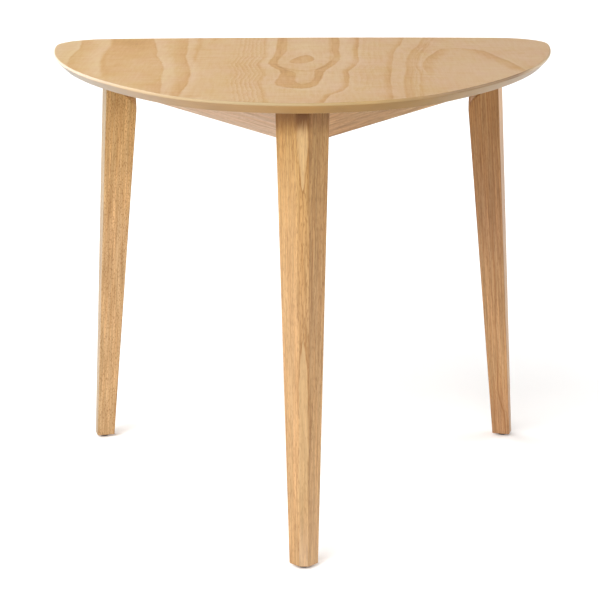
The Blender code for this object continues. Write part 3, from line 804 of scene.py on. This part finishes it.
RING_TONES = [(0.0, 0.15), (0.45, 0.75), (0.8, 1.0), (0.95, 0.6), (1.0, 0.15)]
FULL_FIGURE = 0.30
RING_MEAN = 0.65
RING_WAVER = 0.012
PORE_SHARE = 0.5


def wood_material(name, frame, wood):
    """Solid wood, its grain along Z of a frame: rings about a far pith, fibres, short dark pores."""
    shade = Shade(name, roughness=0.40, specular=0.25)
    own = shade.place(frame)
    point = shade.stretch(own, (1.0, 1.0, 1.0), (0.0, 0.0, wood.start))

    def noise(across, along, detail=2.0, offset=UNMOVED, roughness=0.5):
        return shade.noise(point, (across, across, along), offset, detail, roughness)

    x, y, z = shade.split(point)
    u = shade.stir(shade.math("MULTIPLY_ADD", z, wood.slope[0], x), noise(30.0, 5.0, 3.0), RING_WAVER)
    u = shade.math("SUBTRACT", u, wood.pith[0])
    v = shade.math("MULTIPLY_ADD", z, wood.slope[1], shade.math("SUBTRACT", y, wood.pith[1]))
    away = shade.math("POWER", shade.math("ADD", shade.product(u, u), shade.product(v, v)), 0.5)
    rings = shade.ramp(shade.math("FRACT", shade.math("DIVIDE", away, wood.ring)), RING_TONES)
    streaks = noise(330.0, 8.0, 3.0, roughness=0.6)
    broad = noise(34.0, 1.8)
    fibres = noise(900.0, 22.0)
    share = shade.math("MULTIPLY_ADD", rings, wood.figure, (FULL_FIGURE - wood.figure) * RING_MEAN)
    share = shade.math("ADD", share, shade.remap(streaks, 0.36, 0.64, 0.0, 0.45))
    share = shade.math("ADD", share, shade.remap(broad, 0.3, 0.7, 0.0, 0.25))
    tone = shade.mix(share, wood.dark, wood.light)
    tone = shade.darken(tone, shade.remap(fibres, 0.25, 0.75, 0.94, 1.06))
    blush = shade.remap(noise(210.0, 5.0, 1.0, (3.7, 9.3, 0.0)), 0.35, 0.65)
    tone = shade.tint(tone, shade.mix(blush, (0.98, 1.01, 1.04), (1.02, 0.98, 0.94)))
    lines = noise(700.0, 5.0, offset=(7.7, 2.3, 0.0))
    tone = shade.darken(tone, shade.remap(lines, 0.35, 0.65, 0.88, 1.10))
    vessel = shade.remap(noise(640.0, wood.dash), 0.50, 0.66, 0.0, wood.pores * PORE_SHARE, smooth=True)
    tone = shade.mix(vessel, tone, wood.pore)
    if wood.marks:
        places = dict(zip("xyz", shade.split(own)))
        if wood.more_places:
            places |= wood.more_places(shade, places)
        tone = lay_marks(shade, tone, wood.marks, places)
    relief = shade.math("SUBTRACT", shade.product(fibres, 0.4), vessel)
    return shade.finish(tone, relief, distance=0.00008, strength=0.25)


def metal_material():
    """Bright zinc plating with a faint mottle."""
    shade = Shade("zinc_steel", roughness=0.32, metallic=1.0)
    mottle = shade.noise(shade.place(), (420.0, 420.0, 420.0), detail=3.0)
    tone = shade.mix(mottle, (0.50, 0.50, 0.48), (0.74, 0.74, 0.71))
    rough = shade.remap(mottle, 0.3, 0.7, 0.26, 0.40)
    return shade.finish(tone, mottle, distance=0.00002, strength=0.2, roughness=rough)


def plastic_material():
    """Dark brown moulded plastic."""
    shade = Shade("glide_plastic", roughness=0.5)
    grain = shade.noise(shade.place(), (2400.0, 2400.0, 2400.0))
    tone = shade.mix(grain, (0.050, 0.028, 0.020), (0.075, 0.043, 0.030))
    return shade.finish(tone, grain, distance=0.00002, strength=0.3)


def corner_arc(before, corner, after, radius, steps, inset=0.0):
    """Points of the arc that rounds the corner between two flat points, moved in by an inset."""
    back = (before - corner).normalized()
    on = (after - corner).normalized()
    half = back.angle(on) / 2
    centre = corner + (back + on).normalized() * radius / sin(half)
    start = corner + back * radius / tan(half) - centre
    turn = start.angle_signed(corner + on * radius / tan(half) - centre)
    start *= 1 - inset / radius
    return [centre + Matrix.Rotation(-turn * step / steps, 2) @ start for step in range(steps + 1)]


def rounded(corners, radii, steps):
    """A line through flat points whose inner corners are rounded by arcs."""
    points = [corners[0]]
    for before, corner, after, radius in zip(corners, corners[1:], corners[2:], radii):
        points += corner_arc(before, corner, after, radius, steps)
    return points + [corners[-1]]


def arc(centre, radius, start, end, steps):
    """Points on an arc, without its last one, which the next arc begins with."""
    angles = [start + (end - start) * step / steps for step in range(steps)]
    return [centre + radius * Vector((cos(angle), sin(angle))) for angle in angles]


def bow_centre(start, start_radius, end, end_radius, bow):
    """Centre of the bowed side that runs smoothly from one round corner into the next."""
    first = bow - start_radius
    second = bow - end_radius
    span = end - start
    along = (first ** 2 - second ** 2 + span.length ** 2) / (2 * span.length)
    across = sqrt(first ** 2 - along ** 2)
    direction = span.normalized()
    return start + along * direction + across * Vector((-direction.y, direction.x))


def heading(vector):
    """Direction of a flat vector as an angle from +X."""
    return atan2(vector.y, vector.x)


def turn_between(start, end):
    """The angle to reach from start, going anticlockwise to end."""
    return start + (end - start) % (2 * pi)


OUTLINE_STEPS = ((64, 48), (44, 36), (44, 48))  # for each corner and for the side after it


def top_outline(inset):
    """The outline of the top, anticlockwise, moved in by an inset."""
    corners = [
        (Vector((0.0, FRONT_Y)), FRONT_RADIUS, SIDE_BOW),
        (Vector((CORNER_X, CORNER_Y)), CORNER_RADIUS, BACK_BOW),
        (Vector((-CORNER_X, CORNER_Y)), CORNER_RADIUS, SIDE_BOW),
    ]
    bows = []
    for index, (centre, radius, bow) in enumerate(corners):
        after, after_radius, _ = corners[(index + 1) % 3]
        bows.append(bow_centre(centre, radius, after, after_radius, bow))
    points = []
    for index, (centre, radius, bow) in enumerate(corners):
        after = corners[(index + 1) % 3][0]
        corner_start = heading(centre - bows[index - 1])
        side_start = turn_between(corner_start, heading(centre - bows[index]))
        side_end = turn_between(side_start, heading(after - bows[index]))
        corner_steps, side_steps = OUTLINE_STEPS[index]
        points += arc(centre, radius - inset, corner_start, side_start, corner_steps)
        points += arc(bows[index], bow - inset, side_start, side_end, side_steps)
    return points


def loft(rings, tags=None):
    """A closed solid through rings of equally many points, anticlockwise, from the bottom up.

    Tags give the material number of the bottom, of each band and of the top.
    """
    bm = bmesh.new()
    made = [[bm.verts.new(point) for point in ring] for ring in rings]
    bands = [[bm.faces.new(list(reversed(made[0])))]]
    for lower, upper in zip(made, made[1:]):
        count = len(lower)
        quads = [(lower[i], lower[(i + 1) % count], upper[(i + 1) % count], upper[i]) for i in range(count)]
        bands.append([bm.faces.new(quad) for quad in quads])
    bands.append([bm.faces.new(made[-1])])
    for band, tag in zip(bands, tags or [0] * len(bands)):
        for face in band:
            face.material_index = tag
    return bm


def turned(profile, sides=24):
    """A solid turned about Z from (radius, height) points, from the bottom up."""
    bm = bmesh.new()
    rings = []
    for radius, height in profile:
        angles = [2 * pi * side / sides for side in range(sides if radius > 0 else 1)]
        rings.append([bm.verts.new((radius * cos(a), radius * sin(a), height)) for a in angles])
    for lower, upper in zip(rings, rings[1:]):
        for index in range(sides):
            after = (index + 1) % sides
            if len(lower) == 1:
                bm.faces.new((lower[0], upper[after], upper[index]))
            elif len(upper) == 1:
                bm.faces.new((lower[index], lower[after], upper[0]))
            else:
                bm.faces.new((lower[index], lower[after], upper[after], upper[index]))
    if len(rings[0]) > 1:
        bm.faces.new(list(reversed(rings[0])))
    if len(rings[-1]) > 1:
        bm.faces.new(rings[-1])
    return bm


THREAD_STEPS = 8  # rings in each turn of a thread
THREAD_CORE = 0.2  # least share of the radius that a thread leaves


def threaded(profile, pitch, depth, start, end, sides=20):
    """A turned piece with a screw thread cut between two heights."""
    fine = []
    for (radius, low), (after, high) in zip(profile, profile[1:]):
        fine.append((radius, low))
        count = int((min(high, end) - max(low, start)) / pitch * THREAD_STEPS)
        for step in range(1, max(count, 0)):
            share = step / count
            fine.append((radius + (after - radius) * share, low + (high - low) * share))
    fine.append(profile[-1])
    bm = turned(fine, sides)
    for vertex in bm.verts:
        x, y, z = vertex.co
        if start < z < end and x * x + y * y > 0:
            phase = (z / pitch - atan2(y, x) / (2 * pi)) % 1.0
            ease = min(1.0, (z - start) / pitch, (end - z) / pitch)
            reach = sqrt(x * x + y * y)
            kept = max(reach - depth * ease * abs(2 * phase - 1), reach * THREAD_CORE)
            vertex.co = (x * kept / reach, y * kept / reach, z)
    return bm


def rod(radius, bottom, top, sides=24):
    """A plain cylinder about Z."""
    return turned([(radius, bottom), (radius, top)], sides)


def aim(point, direction):
    """A matrix that puts a piece made about Z at a point, pointing in a direction."""
    turn = Vector(direction).to_track_quat("Z", "Y").to_matrix().to_4x4()
    return Matrix.Translation(point) @ turn


SHARP_ANGLE = radians(32)


def smooth(mesh):
    """Shade round faces smooth and keep the edges between flat faces sharp."""
    mesh.shade_smooth()
    mesh.set_sharp_from_angle(angle=SHARP_ANGLE)


def to_mesh(name, bm):
    """Store a bmesh as a mesh."""
    mesh = bpy.data.meshes.new(name)
    bm.to_mesh(mesh)
    bm.free()
    smooth(mesh)
    return mesh


def carve(name, body, cutters, operation="DIFFERENCE"):
    """The mesh of a body after each cutter is taken out of it, or kept in common with it."""
    target = add_object(name + "_blank", to_mesh(name + "_blank", body))
    helpers = [target]
    for number, cutter in enumerate(cutters):
        label = f"{name}_cutter_{number}"
        tool = add_object(label, to_mesh(label, cutter))
        helpers.append(tool)
        cut = target.modifiers.new(label, "BOOLEAN")
        cut.operation = operation
        cut.solver = "EXACT"
        cut.object = tool
    seen = target.evaluated_get(bpy.context.evaluated_depsgraph_get())
    mesh = bpy.data.meshes.new_from_object(seen)
    mesh.name = name
    for helper in helpers:
        bpy.data.objects.remove(helper)
    smooth(mesh)
    return mesh


def bevel_edges(bm, edges, width, segments=3):
    """Round some edges of a bmesh a little."""
    bmesh.ops.bevel(bm, geom=edges, offset=width, segments=segments, profile=0.5, affect="EDGES")


def dress(node, mesh, materials, matrix):
    """A finished piece that stands for a node of the frame, from a mesh in a frame of its own."""
    mesh = mesh.copy()
    mesh.transform(matrix)
    for material in materials:
        mesh.materials.append(material)
    piece = add_object(node + "_finished", mesh)
    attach(piece, "root")
    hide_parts(node)


def about_centre(azimuth, offset=UNMOVED):
    """The frame of a corner or an apron: turned about the centre of the legs, +X outward."""
    return Matrix.Translation(CENTRE) @ Matrix.Rotation(azimuth, 4, "Z") @ Matrix.Translation(offset)


def dress_wooden(kind, mesh, azimuths, slot, grain, woods):
    """The wooden pieces of a kind, each turned to its own azimuth and made of its own wood."""
    for place, azimuth in azimuths.items():
        frame_here = about_centre(azimuth)
        wood = wood_material(f"{slot}_{place}", frame_here @ grain, woods[place])
        dress(f"{kind}_{place}", mesh, [wood], frame_here)


def bore(cutter, point, direction=OUTWARD):
    """A cutter made about Z, moved so that it starts at a point and runs in a direction."""
    cutter.transform(aim(point, direction))
    return cutter


EDGE_SHELF = 0.004  # flat run inside the edge, above and below
EDGE_STEPS = 8
VENEER_EDGE = TOP_ARRIS * 0.9  # how far in the veneer begins
VENEER, LIPPING, UNDERSIDE = range(3)


def edge_profile():
    """The top's edge as (inset, drop) points from the underside up."""
    thick = TOP_HIGH.z - TOP_LOW.z
    corners = ((UNDERCUT + EDGE_SHELF, thick), (UNDERCUT, thick), (0.0, NOSE_HEIGHT), (0.0, 0.0),
               (EDGE_SHELF, 0.0))
    return rounded([Vector(p) for p in corners], (LOW_ARRIS, NOSE_ROUND, TOP_ARRIS), EDGE_STEPS)


def edge_tag(inset, drop):
    """The material number of a band of the top's edge."""
    if drop > NOSE_HEIGHT:
        return UNDERSIDE if inset > UNDERCUT else LIPPING
    return VENEER if inset > VENEER_EDGE else LIPPING


def make_top():
    """The veneered board."""
    profile = edge_profile()
    rings = []
    for inset, drop in profile:
        z = TOP_HIGH.z - drop
        rings.append([CENTRE + Vector((p.x, p.y, z)) for p in top_outline(inset)])
    bands = [edge_tag((inset + after) / 2, drop) for (inset, drop), (after, _) in zip(profile, profile[1:])]
    mesh = to_mesh("tabletop_finished", loft(rings, [UNDERSIDE, *bands, VENEER]))
    materials = [veneer_material(), edge_material(), underside_material()]
    dress("tabletop", mesh, materials, Matrix())


def along_leg(z, at_foot, at_head):
    """A measure of the leg at a height, from its values at the foot and at the head."""
    return at_foot + (at_head - at_foot) * (z - FOOT_Z) / (HEAD_Z - FOOT_Z)


def leg_side(z):
    """Side of the leg's square section at a height."""
    return along_leg(z, FOOT_SIDE, HEAD_SIDE)


def leg_reach(z):
    """Distance of the leg's middle from the centre of the leg triangle at a height."""
    return along_leg(z, FOOT_REACH, HEAD_REACH)


def inner_reach(z):
    """Distance of the leg's inner corner, uncut, from the centre of the leg triangle at a height."""
    return leg_reach(z) - leg_side(z) / sqrt(2)


def flat_depth(z):
    """How far the flat and its run-out cut into the leg's inner corner at a height."""
    if z <= RUN_OUT_Z:
        return 0.0
    rise = min(z - RUN_OUT_Z, RUN_OUT_RADIUS)
    face = inner_reach(RUN_OUT_Z) + RUN_OUT_RADIUS - sqrt(RUN_OUT_RADIUS ** 2 - rise ** 2)
    return min(face, FLAT_REACH) - inner_reach(z)


SUPPORT = 0.0012  # how far from an arris the points stand that keep the faces flat
ARRIS_STEPS = 5


def leg_section(z, inset=0.0):
    """The leg's section at a height, +X outward: the planed outer arris, crisp ones, the cut corner."""
    half = leg_side(z) / sqrt(2)
    facet = along_leg(z, FOOT_FACET, HEAD_FACET) / 2
    cut = max(flat_depth(z), ARRIS * (sqrt(2) - 1))
    # each corner, and whether a support stands before and after its round
    corners = [
        (Vector((half - facet, -facet)), True, True),
        (Vector((half - facet, facet)), True, True),
        (Vector((0.0, half)), True, True),
        (Vector((-half + cut, cut)), True, False),
        (Vector((-half + cut, -cut)), False, True),
        (Vector((0.0, -half)), True, True),
    ]
    points = []
    for index, (corner, support_before, support_after) in enumerate(corners):
        before = corners[index - 1][0]
        after = corners[(index + 1) % len(corners)][0]
        arris = corner_arc(before, corner, after, ARRIS, ARRIS_STEPS, inset)
        if support_before:
            points.append(arris[0] + (before - corner).normalized() * SUPPORT)
        points += arris
        if support_after:
            points.append(arris[-1] + (after - corner).normalized() * SUPPORT)
    return [Vector((leg_reach(z) + p.x, p.y, z)) for p in points]


def spread(start, end, steps):
    """Evenly spread values from a start up to an end that is left out."""
    return [start + (end - start) * step / steps for step in range(steps)]


def leg_heights():
    """Heights of the leg's rings: close together where the flat runs out."""
    left = RUN_OUT_RADIUS - (FLAT_REACH - inner_reach(RUN_OUT_Z))
    straight = RUN_OUT_Z + sqrt(RUN_OUT_RADIUS ** 2 - left ** 2)
    shaft = spread(FOOT_Z + FOOT_EASE, RUN_OUT_Z, 24)
    return shaft + spread(RUN_OUT_Z, straight, 24) + spread(straight, HEAD_Z, 8) + [HEAD_Z]


LEG_LEAN = atan((FOOT_REACH - HEAD_REACH) / (HEAD_Z - FOOT_Z))

LEG_WOODS = {
    "front": Wood(
        light=(0.555, 0.338, 0.156), dark=(0.245, 0.117, 0.035), pore=(0.20, 0.09, 0.03),
        pith=(0.09, 0.035), slope=(0.022, 0.012), start=0.0, figure=0.18,
        marks=FRONT_LEG_MARKS, more_places=front_leg_places,
    ),
    "back_right": Wood(
        light=(0.54, 0.300, 0.145), dark=(0.25, 0.115, 0.040), pore=(0.22, 0.09, 0.03),
        pith=(-0.05, 0.11), slope=(0.015, 0.02), start=3.0, pores=0.7,
        marks=RIGHT_LEG_MARKS, more_places=right_leg_places,
    ),
    "back_left": Wood(
        light=(0.63, 0.405, 0.205), dark=(0.29, 0.156, 0.055), pore=(0.22, 0.10, 0.03),
        pith=(0.06, -0.12), slope=(-0.02, 0.015), start=7.0, pores=1.2, figure=0.06, dash=230.0,
        marks=LEFT_LEG_MARKS,
    ),
}
FOOT_IN = FOOT_EASE * 0.7  # how far in the foot's ease ends


def make_legs():
    """The three legs, each with its own run of the grain."""
    rings = []
    for angle in spread(0.0, pi / 2, 4):
        z = FOOT_Z + FOOT_EASE * (1 - cos(angle))
        section = leg_section(FOOT_Z + FOOT_EASE, FOOT_IN * (1 - sin(angle)))
        rings.append([Vector((p.x, p.y, z)) for p in section])
    rings += [leg_section(z) for z in leg_heights()]
    cutters = []
    for level in BOLT_LEVELS.values():
        hole = rod(BOLT_RADIUS + GAP, 0.0, BOLT_TIP + GAP * 2 - BLOCK_NOSE)
        cutters.append(bore(hole, (BLOCK_NOSE, 0.0, level)))
    mesh = carve("leg", loft(rings), cutters)
    grain = Matrix.Translation((FOOT_REACH, 0.0, FOOT_Z)) @ Matrix.Rotation(-LEG_LEAN, 4, "Y")
    dress_wooden("leg", mesh, CORNERS, "leg_wood", grain, LEG_WOODS)


def pocket_axis(side):
    """Where a pocket screw's axis leaves the apron's upper edge, and its direction."""
    point = Vector((TOP_SCREW_EXIT, side * TOP_SCREW_SPACING / 2, TOP_LOW.z))
    return point, Vector((sin(TOP_SCREW_TILT), 0.0, cos(TOP_SCREW_TILT)))


def apron_outline():
    """An apron from above, anticlockwise, +X outward: ends cut to the leg flats, mitred behind them."""
    corner = Vector((cos(HALF_CORNER), sin(HALF_CORNER)))
    flat = FLAT_REACH - GAP
    along_face = (flat - APRON_FACE * corner.x) / corner.y
    mitre = GAP / (2 * corner.x)
    along_inner = APRON_INNER * corner.y / corner.x - mitre
    half = [(APRON_FACE, along_face), (flat * corner.x, flat * corner.y - mitre), (APRON_INNER, along_inner)]
    return half + [(x, -y) for x, y in reversed(half)]


APRON_WOODS = {
    "back": Wood(
        light=(0.60, 0.37, 0.20), dark=(0.46, 0.26, 0.12), pore=(0.30, 0.17, 0.09),
        pith=(0.05, 0.10), slope=(0.01, 0.015), start=11.0, ring=0.005, pores=0.6,
    ),
    "front_right": Wood(
        light=(0.575, 0.330, 0.135), dark=(0.270, 0.127, 0.035), pore=(0.25, 0.12, 0.04),
        pith=(0.04, 0.09), slope=(0.02, 0.02), start=13.0, ring=0.005, pores=0.6,
        marks=RIGHT_APRON_MARKS,
    ),
    "front_left": Wood(
        light=(0.696, 0.495, 0.340), dark=(0.464, 0.300, 0.180), pore=(0.36, 0.22, 0.12),
        pith=(0.04, 0.08), slope=(0.02, -0.02), start=17.0, ring=0.005, pores=0.6,
        marks=LEFT_APRON_MARKS,
    ),
}
BORE_SIDES = 32


def upright(outline, low, high):
    """A solid that stands on an outline of (x, y) points, between two heights."""
    return loft([[Vector((x, y, z)) for x, y in outline] for z in (low, high)])


def screw_hole(mouth, seat, end):
    """A cutter for a screw: wide from the mouth to the seat of its head, then close to its shank."""
    wide = [(POCKET_RADIUS, mouth), (POCKET_RADIUS, seat)]
    return turned(wide + [(SCREW_RADIUS + GAP, seat), (SCREW_RADIUS + GAP, end)], BORE_SIDES)


def make_aprons():
    """The three aprons with their pocket holes."""
    blank = upright(apron_outline(), APRON_BOTTOM, HEAD_Z)
    spans = [(edge, edge.verts[1].co - edge.verts[0].co) for edge in blank.edges]
    long_edges = [edge for edge, span in spans if abs(span.x) < GAP and abs(span.y) > APRON_THICK]
    bevel_edges(blank, long_edges, APRON_EASE)
    cutters = []
    for end in (-1, 1):
        for level in BOLT_LEVELS.values():
            hole = rod(BOLT_HOLE, 0.0, FLAT_REACH - BLOCK_NOSE + 2 * BEYOND)
            hole = bore(hole, (BLOCK_NOSE - BEYOND, 0.0, level))
            hole.transform(Matrix.Rotation(end * HALF_CORNER, 4, "Z"))
            cutters.append(hole)
        pocket = screw_hole(-POCKET_DEPTH - TOP_SCREW_SEAT, -TOP_SCREW_SEAT, BEYOND)
        cutters.append(bore(pocket, *pocket_axis(end)))
    mesh = carve("apron", blank, cutters)
    grain = Matrix.Translation((APRON_INNER, 0.0, APRON_BOTTOM)) @ Matrix.Rotation(-pi / 2, 4, "X")
    dress_wooden("apron", mesh, APRONS, "apron_wood", grain, APRON_WOODS)


def screw_positions():
    """A corner block's screws: end of the name, mouth of the bore on the back face, direction."""
    found = []
    for side, sign in (("left", -1), ("right", 1)):
        direction = Vector((cos(HALF_CORNER), sign * sin(HALF_CORNER), 0.0))
        for level, z in BLOCK_SCREW_LEVELS.items():
            found.append((f"{side}_{level}", Vector((BLOCK_BACK, sign * BLOCK_SCREW_OFFSET, z)), direction))
    return found


def block_screw_shank():
    """Shank length of a block screw: through the rest of the block and into the apron."""
    mouth = Vector((BLOCK_BACK, BLOCK_SCREW_OFFSET))
    in_block = APRON_INNER - mouth.dot(Vector((cos(HALF_CORNER), sin(HALF_CORNER))))
    return in_block - BLOCK_SCREW_SEAT + BLOCK_SCREW_BITE


BLOCK_WOOD = Wood(
    light=(0.62, 0.42, 0.25), dark=(0.48, 0.30, 0.16), pore=(0.33, 0.19, 0.10),
    pith=(0.05, 0.09), slope=(0.02, 0.02), start=23.0, ring=0.004, pores=0.4,
)


def make_blocks(metal):
    """The corner blocks and their screws."""
    def half_width(reach):
        return (APRON_INNER - GAP - reach * cos(HALF_CORNER)) / sin(HALF_CORNER)

    nose = half_width(BLOCK_NOSE)
    back = half_width(BLOCK_BACK)
    outline = [(BLOCK_BACK, back), (BLOCK_BACK, -back), (BLOCK_NOSE, -nose), (BLOCK_NOSE, nose)]
    blank = upright(outline, BLOCK_BOTTOM, BLOCK_TOP)
    behind = [e for e in blank.edges if all(v.co.x < BLOCK_NOSE - GAP for v in e.verts)]
    bevel_edges(blank, behind, BLOCK_EASE)
    cutters = []
    for level in BOLT_LEVELS.values():
        hole = rod(BOLT_HOLE, 0.0, BLOCK_NOSE - BLOCK_BACK + 2 * BEYOND)
        cutters.append(bore(hole, (BLOCK_BACK - BEYOND, 0.0, level)))
    for _, mouth, direction in screw_positions():
        hole = screw_hole(-BEYOND, BLOCK_SCREW_SEAT, block_screw_shank() + BEYOND)
        cutters.append(bore(hole, mouth, direction))
    mesh = carve("corner_block", blank, cutters)
    grain = Matrix.Translation((BLOCK_BACK, 0.0, BLOCK_BOTTOM)) @ Matrix.Rotation(-pi / 2, 4, "X")
    dress_wooden("corner_block", mesh, CORNERS, "block_wood", grain, dict.fromkeys(CORNERS, BLOCK_WOOD))
    screw = screw_mesh("block_screw", block_screw_shank())
    for place, azimuth in CORNERS.items():
        for ending, mouth, direction in screw_positions():
            seat = aim(mouth + direction * (BLOCK_SCREW_SEAT - GAP), direction)
            dress(f"block_screw_{place}_{ending}", screw, [metal], about_centre(azimuth) @ seat)


SCREW_CROWN = SCREW_HEAD_THICK * 0.8
SCREW_TIP = SCREW_RADIUS * 3
SCREW_NECK = 0.002  # plain shank under the head
SCREW_THREAD = 0.0005  # depth of the thread
ROUND_STEPS = 6

# Wings of the cross recess: half length, half width and height, at its mouth and at its floor
RECESS = ((0.0021, 0.00055, -SCREW_HEAD_THICK - 0.0002), (0.0008, 0.00035, -0.0006))


def softened(corners, radii):
    """The (radius, height) points of a turned piece's section whose inner corners are rounded."""
    return [(p.x, p.y) for p in rounded([Vector(corner) for corner in corners], radii, ROUND_STEPS)]


def screw_mesh(name, shank):
    """A pan-head wood screw with a cross recess, head below the origin, shank up +Z to a point."""
    crown = ((0.0, -SCREW_HEAD_THICK), (SCREW_HEAD_RADIUS, -SCREW_HEAD_THICK), (SCREW_HEAD_RADIUS, 0.0))
    shaft = [(SCREW_RADIUS, 0.0), (SCREW_RADIUS, SCREW_NECK), (SCREW_RADIUS, shank - SCREW_TIP), (0.0, shank)]
    body = threaded(softened(crown, (SCREW_CROWN,)) + shaft, SCREW_PITCH, SCREW_THREAD, SCREW_NECK, shank)
    cutters = []
    for turn in (0.0, pi / 2):
        wing = loft([[Vector((x * wide, y * thick, z)) for x, y in SQUARE] for wide, thick, z in RECESS])
        wing.transform(Matrix.Rotation(turn, 4, "Z"))
        cutters.append(wing)
    return carve(name, body, cutters)


def make_top_screws(metal):
    """The pocket screws that hold the top to the aprons."""
    screw = screw_mesh("top_screw", TOP_SCREW_SEAT + TOP_SCREW_BITE)
    for place, azimuth in APRONS.items():
        for side, sign in (("left", -1), ("right", 1)):
            point, direction = pocket_axis(sign)
            seat = aim(point - direction * (TOP_SCREW_SEAT + GAP), direction)
            dress(f"top_screw_{place}_{side}", screw, [metal], about_centre(azimuth) @ seat)


BOLT_END = BOLT_RADIUS * 0.8
BOLT_CHAMFER = BOLT_RADIUS * 0.25
BOLT_THREADED = 0.02  # where the machine thread ends
BOLT_THREAD = 0.0006  # its depth
BOLT_POINT = BOLT_RADIUS * 2
BOLT_IN_LEG = 0.03  # plain end that the leg holds


def bolt_mesh(length):
    """A hanger bolt about Z: a machine thread at the bottom end, a plain pointed end for the leg."""
    profile = [(BOLT_END, 0.0), (BOLT_RADIUS, BOLT_CHAMFER), (BOLT_RADIUS, BOLT_THREADED),
               (BOLT_RADIUS, length - BOLT_IN_LEG), (BOLT_RADIUS, length - BOLT_POINT), (0.0, length)]
    return to_mesh("hanger_bolt", threaded(profile, BOLT_PITCH, BOLT_THREAD, BOLT_CHAMFER, BOLT_THREADED))


FITTING_SIDES = 48
FITTING_SOFT = 0.0002
NUT_CHAMFER = radians(30)


def disc(radius, thick, rim, fall):
    """A round piece about Z whose faces have a radius of their own and fall away from it to a rim."""
    return turned([(radius, 0.0), (rim, fall), (rim, thick - fall), (radius, thick)], FITTING_SIDES)


def washer_mesh():
    """A washer about Z with softened rims."""
    blank = disc(WASHER_RADIUS - FITTING_SOFT, WASHER_THICK - GAP, WASHER_RADIUS, FITTING_SOFT)
    return carve("hanger_washer", blank, [rod(BOLT_RADIUS + GAP, -BEYOND, BEYOND, BORE_SIDES)])


def nut_mesh():
    """A hexagon nut about Z, its corners cut back by a cone on both sides."""
    thick = NUT_THICK - GAP
    corner = NUT_ACROSS / sqrt(3)
    flat = NUT_ACROSS / 2
    fall = (corner - flat) * tan(NUT_CHAMFER)
    cone = disc(flat - FITTING_SOFT, thick, corner, fall + FITTING_SOFT)
    hexagon = rod(corner, -BEYOND, thick + BEYOND, 6)
    body = carve("nut_body", cone, [hexagon], "INTERSECT")
    bm = bmesh.new()
    bm.from_mesh(body)
    bpy.data.meshes.remove(body)
    return carve("hanger_nut", bm, [rod(BOLT_RADIUS + GAP, -BEYOND, NUT_THICK + BEYOND, BORE_SIDES)])


def make_leg_bolts(metal):
    """Two hanger bolts in each corner, with their washers and nuts."""
    tail = BLOCK_BACK - WASHER_THICK - NUT_THICK - BOLT_TAIL
    rows = (
        ("hanger_bolt", bolt_mesh(BOLT_TIP - tail), tail),
        ("hanger_washer", washer_mesh(), BLOCK_BACK - GAP - WASHER_THICK),
        ("hanger_nut", nut_mesh(), BLOCK_BACK - WASHER_THICK - GAP * 2 - NUT_THICK),
    )
    for place, azimuth in CORNERS.items():
        for level, z in BOLT_LEVELS.items():
            for kind, mesh, start in rows:
                dress(f"{kind}_{place}_{level}", mesh, [metal],
                      about_centre(azimuth) @ aim((start, 0.0, z), OUTWARD))


GLIDE_ROUNDS = (0.0013, 0.0004)  # radius of a glide's lower rim and of its upper one
NAIL_SOFT = 0.0003
NAIL_POINT = NAIL_RADIUS * 2.5


def make_glides(metal):
    """The glides under the feet and their nails."""
    plastic = plastic_material()
    section = ((0.0, 0.0), (GLIDE_RADIUS, 0.0), (GLIDE_RADIUS, GLIDE_HEIGHT), (0.0, GLIDE_HEIGHT))
    blank = turned(softened(section, GLIDE_ROUNDS)[1:-1], FITTING_SIDES)
    hole = turned([
        (NAIL_HEAD_RADIUS + GAP, -BEYOND),
        (NAIL_HEAD_RADIUS + GAP, NAIL_HEAD_HIGH + GAP),
        (NAIL_RADIUS + GAP, NAIL_HEAD_HIGH + GAP),
        (NAIL_RADIUS + GAP, GLIDE_HEIGHT + BEYOND),
    ], BORE_SIDES)
    glide = carve("glide", blank, [hole])
    nail = to_mesh("glide_nail", turned([
        (NAIL_HEAD_RADIUS - NAIL_SOFT, NAIL_HEAD_LOW),
        (NAIL_HEAD_RADIUS, NAIL_HEAD_LOW + NAIL_SOFT),
        (NAIL_HEAD_RADIUS, NAIL_HEAD_HIGH),
        (NAIL_RADIUS, NAIL_HEAD_HIGH),
        (NAIL_RADIUS, NAIL_TOP - NAIL_POINT),
        (0.0, NAIL_TOP),
    ]))
    for place, azimuth in CORNERS.items():
        under_foot = about_centre(azimuth, (FOOT_REACH, 0.0, 0.0))
        dress(f"glide_{place}", glide, [plastic], under_foot)
        dress(f"glide_nail_{place}", nail, [metal], under_foot)


def main():
    """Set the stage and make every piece."""
    scene = bpy.context.scene
    scene.view_settings.view_transform = "Standard"
    make_camera()
    make_sky()
    make_lamps()
    make_floor()
    make_top()
    make_legs()
    make_aprons()
    metal = metal_material()
    make_blocks(metal)
    make_top_screws(metal)
    make_leg_bolts(metal)
    make_glides(metal)


main()
